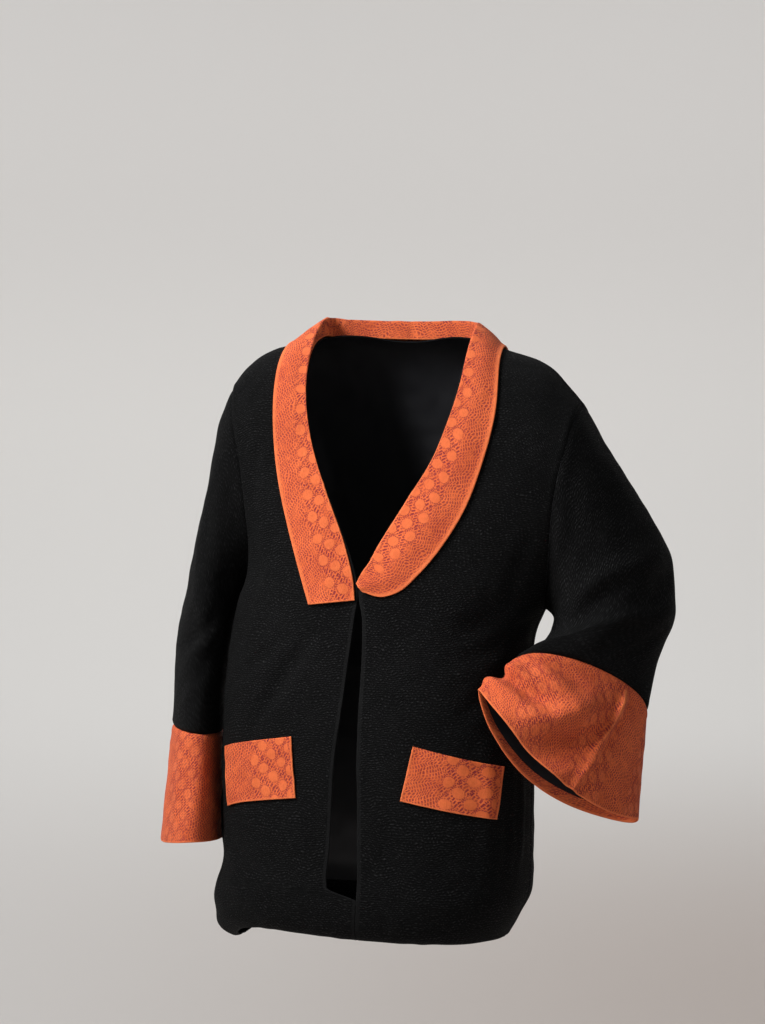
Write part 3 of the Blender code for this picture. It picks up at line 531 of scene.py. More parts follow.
def side_sign(side):
    """1 on the wearer's left and -1 on the right."""
    return 1.0 if side == "left" else -1.0


def depth(along):
    """How far the torso stands in front of (negative) or behind the shoulder line."""
    front, back = smooth(PROFILE, "along", "front", along), smooth(PROFILE, "along", "back", -along)
    return np.where(along > 0, -front, back)


def half_width(side, along):
    """Half width of the torso's section; above the underarm it is found from the armhole."""
    down = np.abs(along)
    across = smooth(ARMHOLE, "along", side, down)
    reach = np.clip(smooth(ARMHOLE, "along", "reach", down), 0.0, 0.99)
    above = across / (1 - reach**SQUARENESS) ** (1 / SQUARENESS)
    return np.where(down >= UNDERARM, smooth(WIDTH, "along", side, down), above)


def angle_at(side, across, along):
    """The angle round the section that lies this far across."""
    share = np.minimum(np.abs(across) / half_width(side, along), 1.0)
    return np.copysign(np.arcsin(share ** (SQUARENESS / 2)), across)


def end_angle(side, along):
    """The angle at which a panel ends: the armhole, or the side seam below the underarm."""
    down = np.abs(along)
    armhole = angle_at(side, smooth(ARMHOLE, "along", side, down), along)
    return np.where(down >= UNDERARM, math.pi / 2, armhole)


def torso(side, angle, along):
    """Points of the torso form."""
    angle, along = np.broadcast_arrays(np.asarray(angle, float), np.asarray(along, float))
    power = 2 / SQUARENESS
    sine = np.sin(angle)
    out = np.copysign(np.abs(sine) ** power, sine) * half_width(side, along)
    y = depth(along) * np.maximum(np.cos(angle), 0.0) ** power
    down = np.abs(along)
    ridge = smooth(RIDGE, "share", side, np.abs(out) / ARMHOLE[side][0])
    z = -smooth(PROFILE, "along", "drop", down) + ridge * (1 - ease(down / UNDERARM))
    if side == "right":
        z = z - RIGHT_SIDE_SAG * ease((down - SAG_STARTS) / (SAG_ENDS - SAG_STARTS)) * np.abs(sine) ** 6
    return np.stack([side_sign(side) * out, y, z], -1)


def torso_normal(side, angle, along):
    """The outward directions of the torso form."""
    step, turn, last = 0.004, 0.01, math.pi / 2 - 0.03
    low = np.minimum(angle, last)
    low = np.where(np.abs(low) < 2 * turn, 2 * turn, low)
    round_it = torso(side, low + turn, along) - torso(side, low - turn, along)
    round_it[np.asarray(np.broadcast_to(angle, low.shape) > last)] *= (0.0, 1.0, 0.0)
    down = torso(side, angle, along + step) - torso(side, angle, along - step)
    return unit(np.cross(down, round_it)) * side_sign(side)


def lengths_along(points, axis=0):
    """How far each point of a line of points lies from its first one, or of each line of a grid."""
    steps = np.linalg.norm(np.diff(points, axis=axis), axis=-1)
    lengths = np.cumsum(steps, axis)
    return np.concatenate([np.zeros_like(lengths.take([0], axis)), lengths], axis)


def at_lengths(line, places):
    """Points of a line of points at these distances from its first one."""
    lengths = lengths_along(line)
    return np.stack([np.interp(places, lengths, line[:, k]) for k in range(3)], 1)


def spaced(total, count, start, end):
    """Places along a length: close together at its two ends, even between them."""
    between = np.linspace(start[-1], total - end[-1], count + 1)[1:-1]
    return np.concatenate([start, between, total - np.array(end[::-1])])


def laid_row(curve, count, start, end):
    """Parameters of a curve at spaced places, with their distances from its start and from its end."""
    samples = np.linspace(0, 1, CURVE_SAMPLES)
    lengths = lengths_along(curve(samples))
    places = spaced(lengths[-1], count, start, end)
    return np.interp(places, lengths, samples), places, lengths[-1] - places


def to_line(points, path):
    """How far each point lies from a bent line, and at what share of the line's way it is nearest."""
    best = np.full(points.shape[:-1], 1e9)
    share = np.zeros_like(best)
    pieces = len(path) - 1
    for k in range(pieces):
        line = path[k + 1] - path[k]
        t = np.clip(((points - path[k]) @ line) / (line @ line), 0.0, 1.0)
        away = np.linalg.norm(points - path[k] - t[..., None] * line, axis=-1)
        closer = away < best
        best = np.where(closer, away, best)
        share = np.where(closer, (k + t) / pieces, share)
    return best, share


def swell(away, wide):
    """Falls from 1 to 0 with the distance from a line."""
    return np.exp(-((away / wide) ** 2))


def trough(away, wide, lip=0.0):
    """The section of a fold, 1 in its middle, with a small lip on each side of it."""
    return swell(away, wide) - lip * swell(away - 1.9 * wide, 0.8 * wide)


def relief_of(name, points, calm):
    """How far each point of a piece stands out: its largest folds, its creases and its slight unevenness."""
    relief = np.zeros(points.shape[:-1])
    for start, end, deep, wide in FOLDS.get(name, ()):
        away, share = to_line(points, np.array([start, end]))
        relief -= deep * trough(away, wide) * (0.35 + 0.65 * np.sin(np.pi * share))
    t = np.linspace(0, 1, 9)[:, None]
    for *bends, deep, wide in CREASES.get(name, ()):
        start, middle, end = (np.array(bend) for bend in bends)
        path = (1 - t) * (1 - 2 * t) * start + 4 * t * (1 - t) * middle + t * (2 * t - 1) * end
        away, share = to_line(points, path)
        relief -= deep * trough(away, wide, 0.3) * np.sin(np.pi * np.clip(share, 0.02, 0.98)) ** 0.7
    x, y, z = np.moveaxis(points, -1, 0)
    broad = np.sin(61 * x + 23 * z + 1.3 * np.sin(37 * z + 19 * y)) * np.sin(47 * z - 31 * y + 0.7)
    fine = np.sin(113 * x - 71 * z + 2.1 * np.sin(53 * x + 29 * z)) * np.sin(89 * z + 67 * y + 1.9)
    return (relief + 0.0007 * broad + 0.0004 * fine) * calm


def seam_distance(name, points):
    """How far each point lies from the piece's own seam, or a metre where it has none."""
    if name not in SEAM_LINES:
        return np.ones(points.shape[:-1])
    return to_line(points, np.array(SEAM_LINES[name]))[0]


def grooved(ends, deep=GROOVE):
    """How far the cloth dips where it is sewn to its neighbour, and swells beside that."""
    return -deep * swell(ends, GROOVE_WIDE) + SWELLING * swell(ends - 2 * GROOVE_WIDE, GROOVE_WIDE)


def turned(free, width):
    """How much of the cloth's half thickness is rounded away this far from a free edge."""
    near = np.clip(1 - free / width, 0.0, 1.0)
    return EDGE_TAKEN * (1 - np.sqrt(1 - near**2))


def averaged(steps):
    """The direction at each point of a line, from the steps before and after it."""
    return np.concatenate([steps[:1], steps[1:] + steps[:-1], steps[-1:]])


def grid_normals(points, closed):
    """Directions square to a grid, from its rows down and its columns across."""
    down = averaged(unit(np.diff(points, axis=0)))
    if closed:
        ahead = unit(np.roll(points, -1, axis=1) - points)
        across = ahead + np.roll(ahead, 1, axis=1)
    else:
        across = averaged(unit(np.diff(points, axis=1)).swapaxes(0, 1)).swapaxes(0, 1)
    return unit(np.cross(down, across))


def face_place(face):
    """A face's place among the others, from its corners, so that their order is the same in every run."""
    corners = sorted(vert.index for vert in face.verts)
    return (corners[0] * 1e5 + corners[1]) * 1e5 + corners[3]


def wall_mesh(name, outer, inner, closed):
    """A closed wall between two grids of points: a flat grid, rolled up where it is a tube, then extruded
    once and shaped. With it come the row and the column of each face's corners, and 1 for those of the
    outer grid."""
    keys = ("row", "column", "raised")
    rows, columns = outer.shape[:2]
    across = columns if closed else columns - 1
    bm = bmesh.new()
    row_of, column_of, side_of = (bm.verts.layers.int.new(key) for key in keys)
    bmesh.ops.create_grid(bm, x_segments=across, y_segments=rows - 1, size=1.0)
    bm.verts.ensure_lookup_table()
    for k, vert in enumerate(bm.verts):
        vert[row_of], vert[column_of] = divmod(k, across + 1)
    if closed:
        for vert in bm.verts:
            vert[column_of] %= columns
            turn = 2 * math.pi * vert[column_of] / columns
            vert.co = (math.cos(turn), math.sin(turn), vert[row_of])
        bmesh.ops.remove_doubles(bm, verts=bm.verts[:], dist=1e-5)
    made = bmesh.ops.extrude_face_region(bm, geom=bm.faces[:])
    for item in made["geom"]:
        if isinstance(item, bmesh.types.BMVert):
            item[side_of] = 1
    for vert in bm.verts:
        grid = outer if vert[side_of] else inner
        vert.co = grid[vert[row_of], vert[column_of]]
    bmesh.ops.recalc_face_normals(bm, faces=bm.faces[:])
    if bm.calc_volume(signed=True) < 0:
        bmesh.ops.reverse_faces(bm, faces=bm.faces[:])
    bm.verts.index_update()
    bm.faces.sort(key=face_place)
    mesh = bpy.data.meshes.new(name)
    bm.to_mesh(mesh)
    bm.free()
    corners = np.empty(len(mesh.loops), np.int32)
    mesh.loops.foreach_get("vertex_index", corners)
    found = []
    for key in keys:
        values = np.empty(len(mesh.vertices), np.int32)
        mesh.attributes[key].data.foreach_get("value", values)
        found.append(values[corners].reshape(-1, 4))
        mesh.attributes.remove(mesh.attributes[key])
    row, column, raised = found
    if closed:
        wraps = (np.ptp(column, axis=1) > 1)[:, None] & (column == 0)
        column = np.where(wraps, columns, column)
    return mesh, row, column, raised


def cloth_wall(name, points, normals, thick, relief, free, pairs, materials, lined=0, closed=False):
    """A piece of cloth on a form. Its outer face stands out by its relief, its inner face lies behind it, and
    both are rounded away towards a free edge. Pairs are the distances, across and down, that its materials
    read. Its inner face has the second material down to the row where the lining ends."""
    off = (thick / 2 * turned(free, thick / 2))[..., None] * normals
    outer = points + relief[..., None] * normals - off
    inner = points + (relief - thick)[..., None] * normals + off
    mesh, row, column, raised = wall_mesh("cloth_" + name, outer @ LEANING.T, inner @ LEANING.T, closed)
    for layer, pair in pairs.items():
        grid = np.stack(np.broadcast_arrays(*pair), -1)
        if closed and grid.shape[1] == points.shape[1]:
            grid = np.concatenate([grid, grid[:, :1]], 1)
        uvs = mesh.uv_layers.new(name=layer)
        uvs.data.foreach_set("uv", grid[row, column].astype(np.float32).ravel())
    mesh.shade_smooth()
    mesh.set_sharp_from_angle(angle=math.radians(70))
    for material in materials:
        mesh.materials.append(material)
    inside = (raised.max(1) == 0) & (row.max(1) <= lined)
    mesh.polygons.foreach_set("material_index", inside.astype(np.int32))
    piece = bpy.data.objects.new(mesh.name, mesh)
    bpy.context.scene.collection.objects.link(piece)
    return piece


def body_places(sizes):
    """The places down a panel, from the shoulder to the inner end of its turned hem."""
    upper = spaced(UNDERARM, int(UNDERARM / sizes.step), SEAMED, (0.0,))
    lower = spaced(HEM - UNDERARM, int((HEM - UNDERARM) / sizes.step * LOWER_FINER), (0.0,), RIM)
    return np.concatenate([upper, UNDERARM + lower[1:]])


def lined_rows(places):
    """The last row of the lining, above the turned-in hem."""
    return int(np.searchsorted(places, HEM - HEM_TURN))


def front_piece(side, sizes, materials):
    """One front: shoulder seam, neck edge, front edge, armhole, side seam and turned-under hem."""
    name = "front_" + side
    rows = []
    places = body_places(sizes)
    for along in places:
        first = angle_at(side, smooth(INNER_EDGE, "along", side, along), along)
        last = end_angle(side, along)
        share, edge, seam = laid_row(lambda t: torso(side, first + (last - first) * t, along),
                                     int(FRONT_ACROSS / sizes.step), RIM, SEAMED)
        angle = first + (last - first) * share
        rows.append((torso(side, angle, along), torso_normal(side, angle, along), edge, seam))
    points, normals, edge, seam = (np.array(part) for part in zip(*rows))
    down = places[:, None]
    relief = relief_of(name, points, ease(seam / CALM) * ease(down / CALM))
    relief += grooved(seam, PANEL_GROOVE) + grooved(down)
    free = nearest(edge, seam, down, HEM - down)
    pairs = {"Cloth": (edge, down), "Edges": (edge, HEM - down), "Seams": (np.ones_like(edge), edge)}
    return cloth_wall(name, points, normals, sizes.cloth, relief, free, pairs, materials, lined_rows(places))


def back_half(side, along, sizes):
    """One row of the back from its middle to its side: its points, their directions and distances."""
    start = -np.maximum(along, SEAM_GAP / 2)
    near, far = angle_at(side, NECK_HALF, start), end_angle(side, start)

    def neck(t):
        down = start - BACK_NECK_SCOOP * 0.5 * (1 + np.cos(np.pi * t)) * (1 - ease(along / SCOOP_REACH))
        return angle_at(side, NECK_HALF * t, down), down

    def shoulder(t):
        return near + (far - near) * t, np.full_like(t, start)

    spots = []
    for span, size, end in ((neck, NECK_HALF, (0.0,)), (shoulder, SHOULDER_ACROSS, SEAMED)):
        share, _, _ = laid_row(lambda t: torso(side, *span(t)), int(size / sizes.step), (0.0,), end)
        spots.append(span(share))
    angle, down = (np.concatenate([first, last[1:]]) for first, last in zip(*spots))
    points = torso(side, angle, down)
    return points, torso_normal(side, angle, down), lengths_along(points)


def back_piece(sizes, materials):
    """The back: one piece, with the back neck, shoulder seams, armholes, side seams and hem."""
    rows = []
    places = body_places(sizes)
    for along in places:
        right, left = (back_half(side, along, sizes) for side in ("right", "left"))
        rows.append([np.concatenate([sign * a[:0:-1], b]) for a, b, sign in zip(right, left, (1, 1, -1))])
    points, normals, across = (np.array(part) for part in zip(*rows))
    down = places[:, None]
    seam = np.minimum(across - across[:, :1], across[:, -1:] - across)
    neck = np.clip((NECK_HALF - np.abs(points[..., 0])) / 0.01, 0, 1)
    relief = relief_of("back", points, ease(seam / CALM) * ease(down / CALM))
    relief += grooved(seam, PANEL_GROOVE) + grooved(down) * (1 - neck)
    free = nearest(HEM - down, down, seam)
    pairs = {"Cloth": (across, down), "Edges": (np.ones_like(across), HEM - down),
             "Seams": (np.ones_like(across), down)}
    lined = lined_rows(places)
    return cloth_wall("back", points, normals, sizes.cloth, relief, free, pairs, materials, lined)


def ring_frame(side, share):
    """Middle, half length vector and half depth vector of a sleeve ring, and the way down the sleeve."""
    keys = ("outer", "inner", "face", "half")
    outer, inner, face, half = (smooth(SLEEVE[side], "along", key, share) for key in keys)
    long_half, deep_half = (outer - inner) / 2, unit(face) * half
    return (outer + inner) / 2, long_half, deep_half, unit(np.cross(long_half, deep_half))


def loop_turns(points):
    """The turn at each point of a closed loop, by its length from the first point."""
    lengths = lengths_along(np.concatenate([points, points[:1]]))
    return 2 * math.pi * lengths[:-1] / lengths[-1]


def sleeve_rings(side, shares, sizes):
    """Rings of the sleeve from the armhole to the cuff seam."""
    half = np.linspace(0.0, UNDERARM, int(ARMHOLE_HALF / sizes.step))
    alongs = np.concatenate([half, -half[-2:0:-1]])
    loop = torso(side, end_angle(side, alongs), alongs)
    sunk = HEAD_SUNK * torso_normal(side, end_angle(side, alongs), alongs)
    turns = loop_turns(loop)
    middle, long_half, deep_half, way = ring_frame(side, 0.0)
    away = loop - middle
    own = (away @ long_half / (long_half @ long_half), away @ deep_half / (deep_half @ deep_half), away @ way)
    rings = []
    for share in shares:
        middle, long_half, deep_half, way = ring_frame(side, share)
        mix = ease(share / HEAD_REACH)
        a = own[0] + (np.cos(turns) - own[0]) * mix
        b = own[1] + (np.sin(turns) - own[1]) * mix
        ring = middle + np.outer(a, long_half) + np.outer(b, deep_half) + np.outer(own[2] * (1 - mix), way)
        rings.append(ring - sunk * swell(share, HEAD_SUNK_REACH))
    return np.array(rings)


def cuff_rings(side, seam_ring, shares):
    """Rings of the cuff, from its seam to its flared opening."""
    turns = loop_turns(seam_ring)[:, None]
    spec = {key: np.array(value) for key, value in CUFF[side].items()}
    middle, long_half = (spec["outer"] + spec["inner"]) / 2, (spec["outer"] - spec["inner"]) / 2
    front, behind = (base + change * np.cos(turns) for base, change in spec["shares"])
    on = np.abs(np.sin(turns)) ** 1.6 * np.where(turns < math.pi, front, behind)
    rim = middle + long_half * np.cos(turns) + spec["face"] * np.sin(turns) + spec["reach_on"] * on
    mix = (np.asarray(shares) ** spec["flare"])[:, None, None]
    return seam_ring + (rim - seam_ring) * mix


def tube_piece(name, rings, thick, end_forms, materials, side, cut=0.0, turn=0.0, inset=0.0, lead=0.0,
               like=None):
    """A sleeve, a cuff or what lies inside one: rings of cloth, cut from their cloth at a place and a slant.
    Its relief grows calm at an end that isn't free, and an end that is set in isn't rounded. An inner piece
    lies inset behind the form, starts this far down it, and follows the folds of the one that it is like. The
    second value of Seams is 1 where the orange cloth has dashes over its discs, as on the cuffs."""
    normals = -side_sign(side) * grid_normals(rings, True)
    around = lengths_along(np.concatenate([rings, rings[:, :1]], 1), 1)
    down = lengths_along(rings)
    length = down[-1:]
    calm, relief, free = ease((down + lead) / CALM), np.zeros_like(down), np.ones_like(down)
    for end_form, ends in zip(end_forms, (down, length - down)):
        if end_form != "free":
            calm = calm * ease(ends / CALM)
        if end_form != "set_in":
            free = np.minimum(free, ends)
        if end_form == "seamed":
            relief += grooved(ends)
    relief += relief_of(like or name, rings, calm)
    wrapped = np.concatenate([down, down[:, :1]], 1)
    cos, sin = math.cos(turn), math.sin(turn)
    lined, edges = len(down), np.ones_like(down)
    if end_forms[1] == "free":
        lined, edges = int(np.searchsorted(down[:, 0], length[0, 0] - FACING_BAND)), length - down
    pairs = {
        "Cloth": (around * cos - wrapped * sin + cut, around * sin + wrapped * cos),
        "Edges": (edges, 1.0),
        "Seams": (seam_distance(name, rings), 1.0 if "cuff" in name else 0.0),
    }
    form = rings - inset * normals
    return cloth_wall(name, form, normals, thick, relief, free, pairs, materials, lined, closed=True)


def tube_shares(length, sizes, start, end):
    """Shares of the way down a tube, with rows close together near its ends."""
    return spaced(length, int(length / sizes.step), start, end) / length


def collar_row(side, share, sizes):
    """One section of the collar: the stand from its foot, the roll, and the fall to the outer edge."""
    keys = ("foot_across", "foot_along", "edge_across", "edge_along", "rise", "loose")
    foot_x, foot_a, edge_x, edge_a, rise, loose = (smooth(COLLAR[side], "along", key, share) for key in keys)
    rise = max(rise, 0.0)
    standing = ease(rise / COLLAR_STANDS)
    lift = LAY_GAP + sizes.collar_cloth + loose
    t = np.linspace(0, 1, COLLAR_POINTS)
    along = foot_a + (edge_a - foot_a) * t
    angle = angle_at(side, foot_x + (edge_x - foot_x) * t, along)
    points, normals = torso(side, angle, along), torso_normal(side, angle, along)
    hump = rise * np.maximum(1 - t**1.3, 0.0) ** 1.6
    crown = COLLAR_CROWN * np.sin(np.pi * t) ** 2
    line = points + normals * (lift + crown)[:, None] + np.outer(hump, (0.0, 0.0, 1.0))
    if standing > 0.01:
        flat_foot = points[0] + normals[0] * lift
        stood_foot = points[0] + normals[0] * LAY_GAP + unit(points[0] - points[-1]) * STAND_INWARDS
        foot = flat_foot + (stood_foot - flat_foot) * standing
        steps = np.maximum(np.linspace(0, 1, STAND_POINTS)[:-1, None], STAND_STARTS)
        line = np.concatenate([foot + (line[0] - foot) * steps, line])
    row = at_lengths(line, np.linspace(0, lengths_along(line)[-1], COLLAR_SAMPLES))
    for _ in range(COLLAR_SOFTENED):
        row[1:-1] = (row[:-2] + 2 * row[1:-1] + row[2:]) / 4
    total = lengths_along(row)[-1]
    places = spaced(total, int(COLLAR_ACROSS / sizes.step), RIM, RIM)
    return at_lengths(row, places), places, total - places


def collar_piece(sizes, materials):
    """The shawl collar, one band from the right front round the neck to the left front."""
    shares = spaced(1.0, int(COLLAR_HALF / sizes.step), tuple(r / 0.6 for r in RIM), (0.0,))
    rows = [collar_row("right", share, sizes) for share in shares]
    rows += [collar_row("left", share, sizes) for share in shares[-2::-1]]
    points, foot, edge = (np.array(part) for part in zip(*rows))
    normals = grid_normals(points, False)
    middle = points[:, points.shape[1] // 2]
    along = lengths_along(middle)[:, None]
    ends = np.minimum(along, along[-1] - along)
    free = nearest(foot, edge, ends)
    relief = relief_of("collar", points, ease(free / 0.02) * 0.6)
    relief += COLLAR_BEAD * (swell(edge, BEAD_WIDE) + swell(ends, BEAD_WIDE))
    across_way = unit(points[:, 0] - points[:, -1])
    along_way = unit(np.gradient(middle, axis=0))
    slant = np.sum(across_way * along_way, axis=1)[:, None]
    down = along[len(along) // 2] - along - (edge - foot) / 2 * slant
    across = edge * np.sqrt(1 - slant**2) + COLLAR_CUT
    pairs = {"Cloth": (across, down), "Edges": (np.minimum(foot, ends), edge),
             "Seams": (np.ones_like(edge), 0.0)}
    return cloth_wall("collar", points, normals, sizes.collar_cloth, relief, free, pairs, materials)


def flap_piece(side, sizes, materials):
    """A pocket flap, laid on its front."""
    spec = {key: np.array(value) for key, value in FLAP[side].items()}
    wide = np.linalg.norm(spec["top_outer"] - spec["top_inner"])
    high = np.linalg.norm(spec["low_inner"] - spec["top_inner"])
    x = spaced(wide, int(wide / sizes.step * FLAP_FINER), RIM, RIM)[None, :]
    y = spaced(high, int(high / sizes.step * FLAP_FINER), RIM, RIM)[:, None]
    u, v = (x / wide)[..., None], (y / high)[..., None]
    spots = ((spec["top_inner"] * (1 - u) + spec["top_outer"] * u) * (1 - v)
             + (spec["low_inner"] * (1 - u) + spec["low_outer"] * u) * v)
    across, along = spots[..., 0], spots[..., 1]
    angle = angle_at(side, across, along)
    points, normals = torso(side, angle, along), torso_normal(side, angle, along)
    sides = nearest(x, wide - x, high - y)
    relief = relief_of("front_" + side, points, ease((0.25 - np.abs(across)) / CALM))
    relief += FLAP_BEAD * swell(sides, BEAD_WIDE) + relief_of("flap_" + side, points, 0.4)
    lifted = points + normals * (LAY_GAP + sizes.flap_cloth)
    pairs = {"Cloth": (side_sign(side) * x + FLAP_CUT, y), "Edges": (sides, 1.0),
             "Seams": (np.ones_like(sides), 0.0)}
    return cloth_wall("flap_" + side, lifted, normals, sizes.flap_cloth, relief, nearest(sides, y), pairs,
                      materials)


class Socket:
    """A value inside a material, with its sums written as plain arithmetic."""

    def __init__(self, shader, socket):
        self.shader = shader
        self.socket = socket

    def math(self, operation, *others):
        """One Math node on this value."""
        values = dict(enumerate((self, *others)))
        return self.shader.node("ShaderNodeMath", {"operation": operation}, values)

    def __add__(self, other):
        return self.math("ADD", other)

    __radd__ = __add__

    def __sub__(self, other):
        return self.math("SUBTRACT", other)

    def __rsub__(self, other):
        return (self * -1.0) + other

    def __mul__(self, other):
        return self.math("MULTIPLY", other)

    __rmul__ = __mul__

    def __truediv__(self, other):
        return self.math("DIVIDE", other)

    def __rtruediv__(self, other):
        return self.math("POWER", -1.0) * other

    def fraction(self):
        """What is left of this value above its whole number."""
        return self.math("FRACT")

    def absolute_from(self, middle):
        """How far this value is from another."""
        return (self - middle).math("ABSOLUTE")

    def ramp(self, low, high, to_low=0.0, to_high=1.0):
        """Goes smoothly between two values of this one."""
        return self.shader.node("ShaderNodeMapRange", {"interpolation_type": "SMOOTHSTEP"},
                                {0: self, 1: low, 2: high, 3: to_low, 4: to_high})


class Shader:
    """Makes a material's nodes, one method for every type."""

    def __init__(self, name):
        self.material = bpy.data.materials.new(name)
        self.material.use_nodes = True
        self.tree = self.material.node_tree
        self.surface = self.tree.nodes["Principled BSDF"]

    def join(self, target, value):
        """Joins an input to a value of the material, or sets it to a plain one."""
        if isinstance(value, Socket):
            self.tree.links.new(value.socket, target)
        else:
            target.default_value = value

    def node(self, kind, settings=None, values=None, output=0):
        """Adds a node, sets it, joins its inputs, and gives back one of its outputs."""
        made = self.tree.nodes.new(kind)
        for key, value in (settings or {}).items():
            setattr(made, key, value)
        for key, value in (values or {}).items():
            self.join(made.inputs[key], value)
        return Socket(self, made.outputs[output])

    def mix(self, share, *pair):
        """A colour between two."""
        first, second = (tone if isinstance(tone, Socket) else (*tone, 1.0) for tone in pair)
        return self.node("ShaderNodeMix", {"data_type": "RGBA"}, {"Factor": share, 6: first, 7: second}, 2)

    def channel(self, value, which):
        """One part of a vector or colour."""
        return self.node("ShaderNodeSeparateXYZ", None, {0: value}, which)

    def vector(self, x, y):
        """A place from its two parts."""
        return self.node("ShaderNodeCombineXYZ", None, {0: x, 1: y})

    def place(self, layer):
        """The distances across and down the cloth, in metres."""
        spot = self.node("ShaderNodeUVMap", {"uv_map": layer})
        return spot, self.channel(spot, 0), self.channel(spot, 1)

    def noise(self, spot, size, detail, shift=0.0):
        """Soft noise from 0 to 1, whose blots are about this large."""
        moved = self.node("ShaderNodeVectorMath", {"operation": "ADD"}, {0: spot, 1: (shift, shift, 0.0)})
        return self.node("ShaderNodeTexNoise", {"noise_dimensions": "2D"},
                         {"Vector": moved, "Scale": 1.0 / size, "Detail": detail, "Roughness": 0.55})

    def wander(self, spot, size, far, shift=0.0):
        """Soft noise on both sides of 0, this far apart from end to end."""
        return (self.noise(spot, size, 1.0, shift) - 0.5) * far

    def threads(self, across, down, size):
        """The over and under of a plain weave, from -1 to 1."""
        turn = 2 * math.pi / size
        return (across * turn).math("SINE") * (down * turn).math("SINE")

    def dashes(self, along, aside, length, apart):
        """Short dashes in rows, each row set off from the next, from 0 to 1."""
        row = aside / apart
        shifted = along / length + row.math("FLOOR") * 0.37
        ends = shifted.fraction().absolute_from(0.5)
        sides = row.fraction().absolute_from(0.5)
        return ends.ramp(0.30, 0.42, 1.0, 0.0) * sides.ramp(0.20, 0.34, 1.0, 0.0)

    def larger(self, first, *others):
        """The largest of several values."""
        for other in others:
            first = first.math("MAXIMUM", other)
        return first

    def bump(self, height, distance, strength):
        """The direction of a surface with this relief."""
        values = {"Height": height, "Distance": distance, "Strength": strength}
        return self.node("ShaderNodeBump", None, values)

    def set(self, **values):
        """Joins or sets inputs of the surface."""
        for key, value in values.items():
            self.join(self.surface.inputs[key.replace("_", " ")], value)


def crepe_material(colours):
    """Matte black crepe: puckered nubs in wavy staggered rows, over a fine weave. Its colour carries a
    painted highlight on the nubs, painted shade in the hollows between them, and painted highlights along its
    smooth edges and seams.
    """
    cloth = Shader("black_crepe")
    spot, across, down = cloth.place("Cloth")
    _, from_edge, _ = cloth.place("Edges")
    _, from_seam, _ = cloth.place("Seams")
    x = across + cloth.wander(spot, 0.050, 0.014) + cloth.wander(spot, 0.008, 0.0044, 2.3)
    y = down + cloth.wander(spot, 0.055, 0.018, 5.1) + cloth.wander(spot, 0.009, 0.0040, 8.7)
    rows = (y * (2 * math.pi / NUB_WIDTH)).math("SINE")
    stagger = (x * (2 * math.pi / NUB_LENGTH)).math("COSINE") * (y * (math.pi / NUB_WIDTH)).math("COSINE")
    nubs = rows * 0.7 + stagger * 0.6
    breaks = cloth.noise(cloth.vector(x / 0.0046 + y / 0.0070, y / 0.0030 - x / 0.0090), 1.0, 1.0)
    crinkle = cloth.noise(spot, 0.0020, 2.0)
    patchy = cloth.noise(spot, 0.09, 3.0)
    smooth_edge = from_edge.ramp(0.0045, 0.0068, 1.0, 0.0)
    seam = from_seam.ramp(0.0006, 0.0016, 1.0, 0.0)
    nub = nubs.ramp(0.0, 1.0) * breaks.ramp(0.40, 0.60) * (1.0 - smooth_edge * 0.8)
    # The nubs, the smooth edges and the seams are painted lighter as painted highlights; the crinkle and the
    # patches are random tone
    light = nub * 0.9 + (crinkle - 0.5) * 0.5 + (patchy - 0.5) * 0.3 + smooth_edge * 0.25 + seam * 0.5
    # Painted shade in the hollows, painted highlight on the nubs
    ground = cloth.mix(light.ramp(-0.2, 1.1), colours.crepe_painted_shade, colours.crepe_painted_nub_highlight)
    weave = cloth.threads(across, down, 0.0011)
    height = nubs * 0.35 + nub * 0.65 + breaks * 0.4 + crinkle * 0.5 + weave * 0.10
    height = height * (1.0 - smooth_edge * 0.7) + seam * 1.2
    cloth.set(Base_Color=ground, Roughness=0.88 - nub * 0.16, Normal=cloth.bump(height, 0.0010, 1.0))
    cloth.set(Specular_IOR_Level=0.10, Sheen_Weight=0.004, Sheen_Roughness=0.5)
    return cloth.material


def disc_net(cloth, u, v, shake, drift, busy):
    """The plain discs of the orange cloth, and the dashes that ring them, join them and, on the cuffs,
    cross them."""
    skewed = v + u * DIAMOND_SKEW
    slant_a = (skewed / DIAMOND_HIGH + u / DIAMOND_WIDE).fraction() - 0.5
    slant_b = (skewed / DIAMOND_HIGH - u / DIAMOND_WIDE).fraction() - 0.5
    x = (slant_a - slant_b) * (DIAMOND_WIDE / 2)
    y = (slant_a + slant_b) * (DIAMOND_HIGH / 2) - x * DIAMOND_SKEW
    radius = (x * x + y * y).math("SQRT") + (shake - 0.5) * 0.0026
    disc = radius.ramp(DISC * 0.46, DISC * 0.53, 1.0, 0.0)
    turns = y.math("ARCTAN2", x) / (2 * math.pi)
    ringed = (turns * 15.0 + shake * 0.8).fraction().absolute_from(0.5).ramp(0.28, 0.42, 1.0, 0.0)
    rings = radius.absolute_from(DISC * 0.57).ramp(0.0004, 0.0011, 1.0, 0.0) * ringed * 0.75
    lean, fall = u * 0.6 - v * 0.8, u * 0.8 + v * 0.6
    strokes = cloth.dashes(lean + (shake - 0.5) * 0.0016, fall + (drift - 0.5) * 0.003, 0.0074, 0.0039)
    dots = (lean / 0.0026 + shake).fraction().absolute_from(0.5).ramp(0.22, 0.38, 1.0, 0.0)
    broad = ((0.5 - slant_b.math("ABSOLUTE")) * BAND_APART).ramp(0.0036, 0.0046, 1.0, 0.0)
    thin = ((0.5 - slant_a.math("ABSOLUTE")) * LINE_APART).ramp(0.0005, 0.0013, 1.0, 0.0)
    net = cloth.larger(broad * strokes, thin * dots) * radius.ramp(DISC * 0.56, DISC * 0.62)
    return disc, cloth.larger(rings, net, strokes * busy * 0.5)


